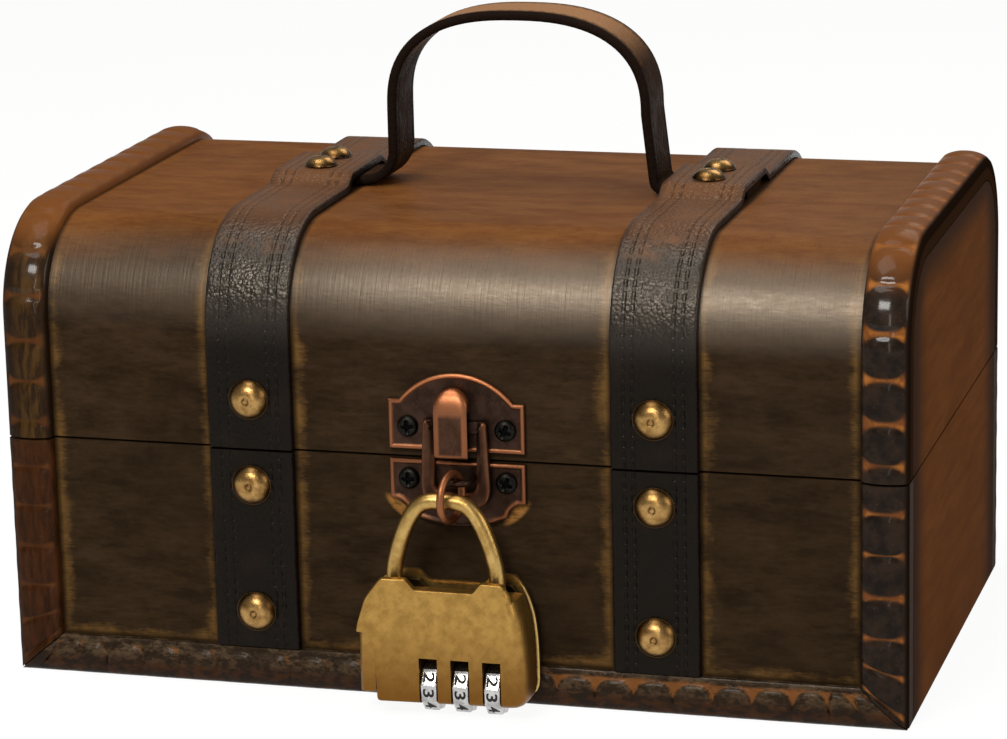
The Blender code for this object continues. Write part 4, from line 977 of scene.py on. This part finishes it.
def wire(name, points, radius, material, body, replaced, mark, steps, closed=False):
    """A round wire, its rings turned as little as possible from one to the next."""
    path = [Vector(p) for p in points]
    rows, side_way = [], None
    for i, place in enumerate(path):
        before = path[i - 1] if closed or i else place
        after = path[(i + 1) % len(path)] if closed or i < len(path) - 1 else place
        along = (after - before).normalized()
        if side_way is None:
            side_way = along.orthogonal().normalized()
        side_way = (side_way - along * side_way.dot(along)).normalized()
        up_way = along.cross(side_way)
        rows.append([(place + radius * (cos(a) * side_way + sin(a) * up_way), mark)
                     for a in (tau * k / steps for k in range(steps))])
    mesh_object(name, bar_between(rows, closed), material, body, replaced)


eye_x, eye_z, eye_half, eye_root = 0.0045, 0.0562, 0.0026, -face + 0.0040
loop = [(x, -face - o, eye_z) for x, o in bow(eye_x, 0.0052, eye_half, 180, 0, 14)]
# Painted shade: the eye has no copper marks, only the dark field colour, where it lies in shade
# inside the hasp's window.
wire("ring_eye_wire", [(eye_x - eye_half, eye_root, eye_z)] + loop
     + [(eye_x + eye_half, eye_root, eye_z)], 0.0008, latch_copper, "base", ("ring_eye",), 0.0, 14)
ring_turn = Matrix.Rotation(radians(-11), 3, "Z")
ring_place, ring_radius = Vector((0.0040, -face - 0.0103, 0.05361)), 0.00565
loop = [ring_place + ring_turn @ Vector((0, y, z))
        for y, z in bow(0, 0, ring_radius, 0, 352.5, 47)]
wire("copper_ring", loop, 0.00095, latch_copper, "ring", ("lock_ring",), 0.60, 16, True)

screw_black = metal_material("screw_black", (0.008, 0.0075, 0.0065), (0.022, 0.020, 0.017),
                             (0.004, 0.004, 0.004), 0.25)
screw_profile = ((0.0, 1.06, 0.0), (0.35, 1.06, 0.0), (0.6, 1.06, 0.0), (0.85, 1.05, 0.0),
                 (1.1, 1.04, 0.0), (1.35, 1.02, 0.0), (1.6, 0.98, 0.0), (1.9, 0.88, 0.0),
                 (2.2, 0.70, 0.0), (2.45, 0.44, 0.0), (2.6, 0.15, 0.0), (2.62, 0.0, 0.3),
                 (1.1, 0.0, 0.3), (1.0, -3.6, 0.3), (0.0, -4.4, 0.3))


def cross_slot(turn_degrees, size):
    """The depth of a driver's cross at a radius and angle on a screw's head."""
    def depth(radius, a):
        a -= radians(turn_degrees)
        x, y = abs(radius * cos(a)) / size, abs(radius * sin(a)) / size
        x, y = max(x, y), min(x, y)
        return 0.00062 * size * smooth(y, 0.00052, 0.00030) * smooth(x, 0.00185, 0.00120)
    return depth


def screw(name, place, axis, body, turn, replaced=(), share=1.0, low=1.0):
    spun(name, in_metres(screw_profile, share, low), place, axis, screw_black, body, replaced,
         56, cross_slot(turn, share))


for plate_name, body, z in (("hasp_plate", "lid", 0.0681), ("staple_plate", "base", 0.0551)):
    for side, sign in (("left", -1), ("right", 1)):
        screw(f"{plate_name}_{side}_cross_screw", (latch_x + sign * 0.01215, -face - 0.0013, z),
              (0, -1, 0), body, 17 + 31 * sign + 300 * z, (f"{plate_name}_{side}_screw",))


# The hinges: small butt hinges of the same copper-plated sheet, rolled round a steel
# pin, with a knuckle between two others. Two little screws hold each leaf.
hinge_x, hinge_z, hole_aside, hole_up = 0.0815, 0.0603, 0.0065, 0.01015
pin_steel = metal_material("pin_steel", (0.060, 0.055, 0.050), (0.150, 0.140, 0.125),
                           (0.30, 0.28, 0.25), 0.25)
for side, sign in (("left", -1), ("right", 1)):
    dress(f"{side}_hinge_pin", pin_steel)
    for part, up in (("base", -1), ("lid", 1)):
        dress(f"{side}_hinge_{part}_leaf", latch_copper)
        for end in (-1, 1):
            screw(f"{side}_hinge_{part}_screw_{'in' if end != sign else 'out'}",
                  (sign * hinge_x + end * hole_aside, face + 0.0015, hinge_z + up * hole_up),
                  (0, 1, 0), part, 23 * end + 11 * up, (), 0.66, 0.5)


# The padlock: a die-cast brass case with a separate back cover, three chromed number
# wheels on a spindle, a release slide down its left side and a bent brass shackle.
padlock_brass = metal_material("padlock_brass", (0.310, 0.172, 0.042), (0.470, 0.275, 0.072),
                               (0.680, 0.460, 0.170), 0.27, 0.35, 0.75, 0.00005,
                               (0.002, 0.027, (0.175, 0.072, 0.013)))
shackle_brass = metal_material("shackle_brass", (0.330, 0.190, 0.050), (0.560, 0.370, 0.125),
                               (0.640, 0.440, 0.170), 0.20, 0.15)
lock_x, lock_low, lock_wide, lock_high = 0.0022, 0.0030, 0.0425, 0.0317
dial_x = (-0.0009, 0.0070, 0.0149)
window_half, window_top = 0.00228, 0.0150
case_corners = ((-0.393, 0.0, 1.6, 0.45), (0.5, 0.0, 4.6, 1.15), (0.5, 0.30, 3.0, 1.7),
                (0.496, 0.48, 3.0, 1.7), (0.480, 0.662, 2.0, 1.6),
                (0.445, 0.814, 2.0, 1.3), (0.405, 0.94, 1.2, 0.7), (0.372, 0.997, 0.6, 0.25),
                (0.240, 1.0, 0.5, 0.20), (0.193, 0.921, 0.6, 0.20), (-0.141, 0.921, 0.6, 0.20),
                (-0.193, 1.0, 0.5, 0.20), (-0.348, 1.0, 1.0, 0.30), (-0.447, 0.836, 2.0, 0.35),
                (-0.5, 0.600, 1.4, 0.30), (-0.498, 0.550, 0.8, 0.18), (-0.447, 0.543, 0.9, 0.18),
                (-0.395, 0.470, 1.2, 0.20))


def case_outline(across=1.0, up=1.0, dip=0.0):
    """The case's outline, scaled about its foot, and how soft its edge is at each point."""
    corners, soft = [], []
    for u, v, reach, edge_soft in case_corners:
        v = v - dip if v > 0.85 else v
        corners.append((lock_x + u * across * lock_wide, lock_low + v * up * lock_high,
                        reach / 1000))
        soft += [edge_soft] * 6
    return rounded(corners), soft


def cut_by_boxes(target, boxes):
    """Cuts plain boxes, each from one corner to another, out of a mesh object."""
    bm = bmesh.new()
    for low, high in boxes:
        for vert in bmesh.ops.create_cube(bm, size=1.0)["verts"]:
            vert.co = [a + (b - a) * (c + 0.5) for a, b, c in zip(low, high, vert.co)]
    cutter_mesh = bpy.data.meshes.new("window_cutter")
    bm.to_mesh(cutter_mesh)
    bm.free()
    cutter = bpy.data.objects.new("window_cutter", cutter_mesh)
    scene.collection.objects.link(cutter)
    cut = target.modifiers.new("windows", "BOOLEAN")
    cut.operation, cut.object, cut.solver = "DIFFERENCE", cutter, "EXACT"
    whole = finished_mesh(target)
    target.modifiers.remove(cut)
    bpy.data.objects.remove(cutter)
    target.data = whole
    whole.set_sharp_from_angle(angle=radians(42))


def finished_mesh(thing):
    """The mesh that an object has once its modifiers or its text are worked out."""
    bpy.context.view_layer.update()
    depsgraph = bpy.context.evaluated_depsgraph_get()
    return bpy.data.meshes.new_from_object(thing.evaluated_get(depsgraph))


def dial_boxes(out_to, out_from, low, high):
    """A box at each wheel, between two distances out of the face and two heights."""
    return [((x - window_half, -face - out_to, low), (x + window_half, -face - out_from, high))
            for x in dial_x]


case_front, case_split, case_back = 0.0170, 0.0074, 0.0053
edge_deep, edge_in = 0.0046, 0.0019
windows = dial_boxes(0.030, 0.0051, -0.001, window_top)
levels = [(0.0, case_split, 0.0), (0.0, case_front - edge_deep, 0.0)]
levels += [(edge_in * (1 - cos(a)), case_front - edge_deep * (1 - sin(a)), 0.0)
           for a in (pi / 2 * i / 8 for i in range(1, 9))]
levels.append((edge_in + 0.0003, case_front, 0.0))
outline, soft = case_outline()
shell = pressed("padlock_front_shell", outline, levels, padlock_brass, "lock_case",
                ("padlock_case",), soft)
# Painted shade: the core between the front shell and the back cover is near black, for the shade in
# the gap between them.
levels = [(0.0, case_back, 0.0), (0.0, case_split - 0.0002, 0.0)]
core = pressed("padlock_inner_core", case_outline(0.960, 0.900)[0], levels, screw_black,
               "lock_case")
behind_the_top = ((lock_x - 0.03, -face - 0.0155, lock_low + 0.85 * lock_high),
                  (lock_x + 0.03, -face - 0.0050, lock_low + 1.2 * lock_high))
cut_by_boxes(shell, windows + [behind_the_top])
cut_by_boxes(core, windows)
outline, soft = case_outline(dip=0.035)
levels = [(0.0, 0.0039, 0.5), (0.0, 0.0048, 0.6), (0.0002, 0.0050, 0.3), (0.0005, 0.0050, 0.0)]
back_plate = pressed("padlock_back_plate", outline, levels, shackle_brass, "lock_case",
                     ("padlock_back_cover",), soft)
cut_by_boxes(back_plate, dial_boxes(0.0060, 0.0041, 0.0034, 0.0106))

lock_out, shackle_half, shackle_rise = face + 0.0110, 0.0128, 0.0172
middle, top = lock_x + 0.0002, lock_low + lock_high
line = [(middle - shackle_half, -lock_out, top + up) for up in (-0.0040, 0.0004)]
for i in range(-23, 24):
    share = sin(pi / 2 * i / 24)
    rise = shackle_rise * sqrt(1 - abs(share) ** 4.0)
    line.append((middle + (shackle_half - 0.18 * rise) * share, -lock_out, top + 0.0008 + rise))
line += [(middle + shackle_half, -lock_out, top + up) for up in (0.0004, -0.0145)]
wire("brass_shackle", line, 0.0020, shackle_brass, "shackle", ("padlock_shackle",), 0.0, 24)

left, slide_deep = lock_x - lock_wide / 2, 0.0042
half_plan = ((slide_deep, 0.0036), (0.0012, 0.0040), (0.0004, 0.0034), (0.0, 0.0020))
plan = list(half_plan) + [(x, -y) for x, y in half_plan[::-1]]
rows = [[((left + slide_deep + (x - slide_deep) * share, -lock_out - y * share, z), 0.05)
         for x, y in plan]
        for share, z in ((0.86, 0.0049), (0.97, 0.0051), (1.0, 0.0055), (1.0, 0.0194),
                         (0.97, 0.0198), (0.86, 0.0200))]
mesh_object("release_slide_body", bar_between(rows), padlock_brass, "release",
            ("padlock_release",))


# The number wheels: each has ten flats on its side, with a plain painted figure on each.
# The figures are thin solids that stand a hair out of their flats.
dial_chrome = metal_material("dial_chrome", (0.340, 0.330, 0.320), (0.620, 0.610, 0.600),
                             (0.300, 0.290, 0.280), 0.12, 0.1)
figure_paint, shader, place = new_material("figure_paint", roughness=0.6,
                                           specular_ior_level=0.2)
give(shader, base_color=blend(spots(place, 2000).ramp(0.3, 0.7), (0.006, 0.005, 0.005),
                              (0.030, 0.026, 0.022)))
dress("padlock_spindle", pin_steel)
wheel_radius, axle_z, wheel_points = 0.00648, 0.0070, 120
figure_high, figure_wide, figure_thick = 0.0040, 0.0028, 0.00003
flat_turn, first_flat = tau / 10, radians(60)


def figure_points(text):
    """One figure as a thin solid, centred and 1 high: points (across, up, side) and faces."""
    curve = bpy.data.curves.new("figure_" + text, "FONT")
    curve.body, curve.resolution_u, curve.offset, curve.extrude = text, 3, 0.022, 0.02
    carrier = bpy.data.objects.new("figure_" + text, curve)
    scene.collection.objects.link(carrier)
    flat = finished_mesh(carrier)
    bpy.data.objects.remove(carrier)
    low, high = (Vector((pick(v.co.x for v in flat.vertices), pick(v.co.y for v in flat.vertices)))
                 for pick in (min, max))
    points = [((v.co.x - (low.x + high.x) / 2) / (high.y - low.y),
               (v.co.y - low.y) / (high.y - low.y) - 0.5,
               1 if v.co.z > 0 else -1) for v in flat.vertices]
    faces = [tuple(p.vertices) for p in flat.polygons]
    bpy.data.meshes.remove(flat)
    return points, faces


wheel_section = ((-2.05, 1.2, 0.3), (-2.05, 5.9, 0.3), (-1.95, 6.25, 0.1), (-1.7, 6.45, 0.0),
                 (-1.5, 6.48, 0.0), (1.5, 6.48, 0.0), (1.7, 6.45, 0.0), (1.95, 6.25, 0.1),
                 (2.05, 5.9, 0.3), (2.05, 1.2, 0.3))
figures = [figure_points(str(n)) for n in range(10)]
for number, x in enumerate(dial_x, 1):
    rows = []
    for across, radius, mark in wheel_section:
        row = []
        for k in range(wheel_points):
            a = tau * k / wheel_points
            off = (a - first_flat + flat_turn / 2) % flat_turn - flat_turn / 2
            r = radius / 1000
            if radius > 5:
                ridge = 0.00012 * smooth(abs(off) / (flat_turn / 2), 0.78, 0.92)
                r = r * cos(flat_turn / 2) / cos(off) + ridge
            row.append(((x + across / 1000, -lock_out - r * sin(a),
                         axle_z + r * cos(a)), mark))
        rows.append(row)
    mesh_object(f"number_wheel_{number}", bar_between(rows, True), dial_chrome,
                f"wheel_{number}", (f"padlock_dial_{number}",))
    bm = bmesh.new()
    for n, (points, faces) in enumerate(figures):
        a = first_flat + (n - 2) * flat_turn
        verts = []
        for u, v, side in points:
            u *= figure_high
            out_of_flat = wheel_radius * cos(flat_turn / 2) + figure_thick * side
            verts.append(bm.verts.new((x + v * figure_wide,
                                       -lock_out - out_of_flat * sin(a) - u * cos(a),
                                       axle_z + out_of_flat * cos(a) - u * sin(a))))
        for corners in faces:
            bm.faces.new([verts[i] for i in corners])
    bmesh.ops.remove_doubles(bm, verts=bm.verts, dist=1e-6)
    mesh_object(f"wheel_figures_{number}", bm, figure_paint, f"wheel_{number}", (), False)
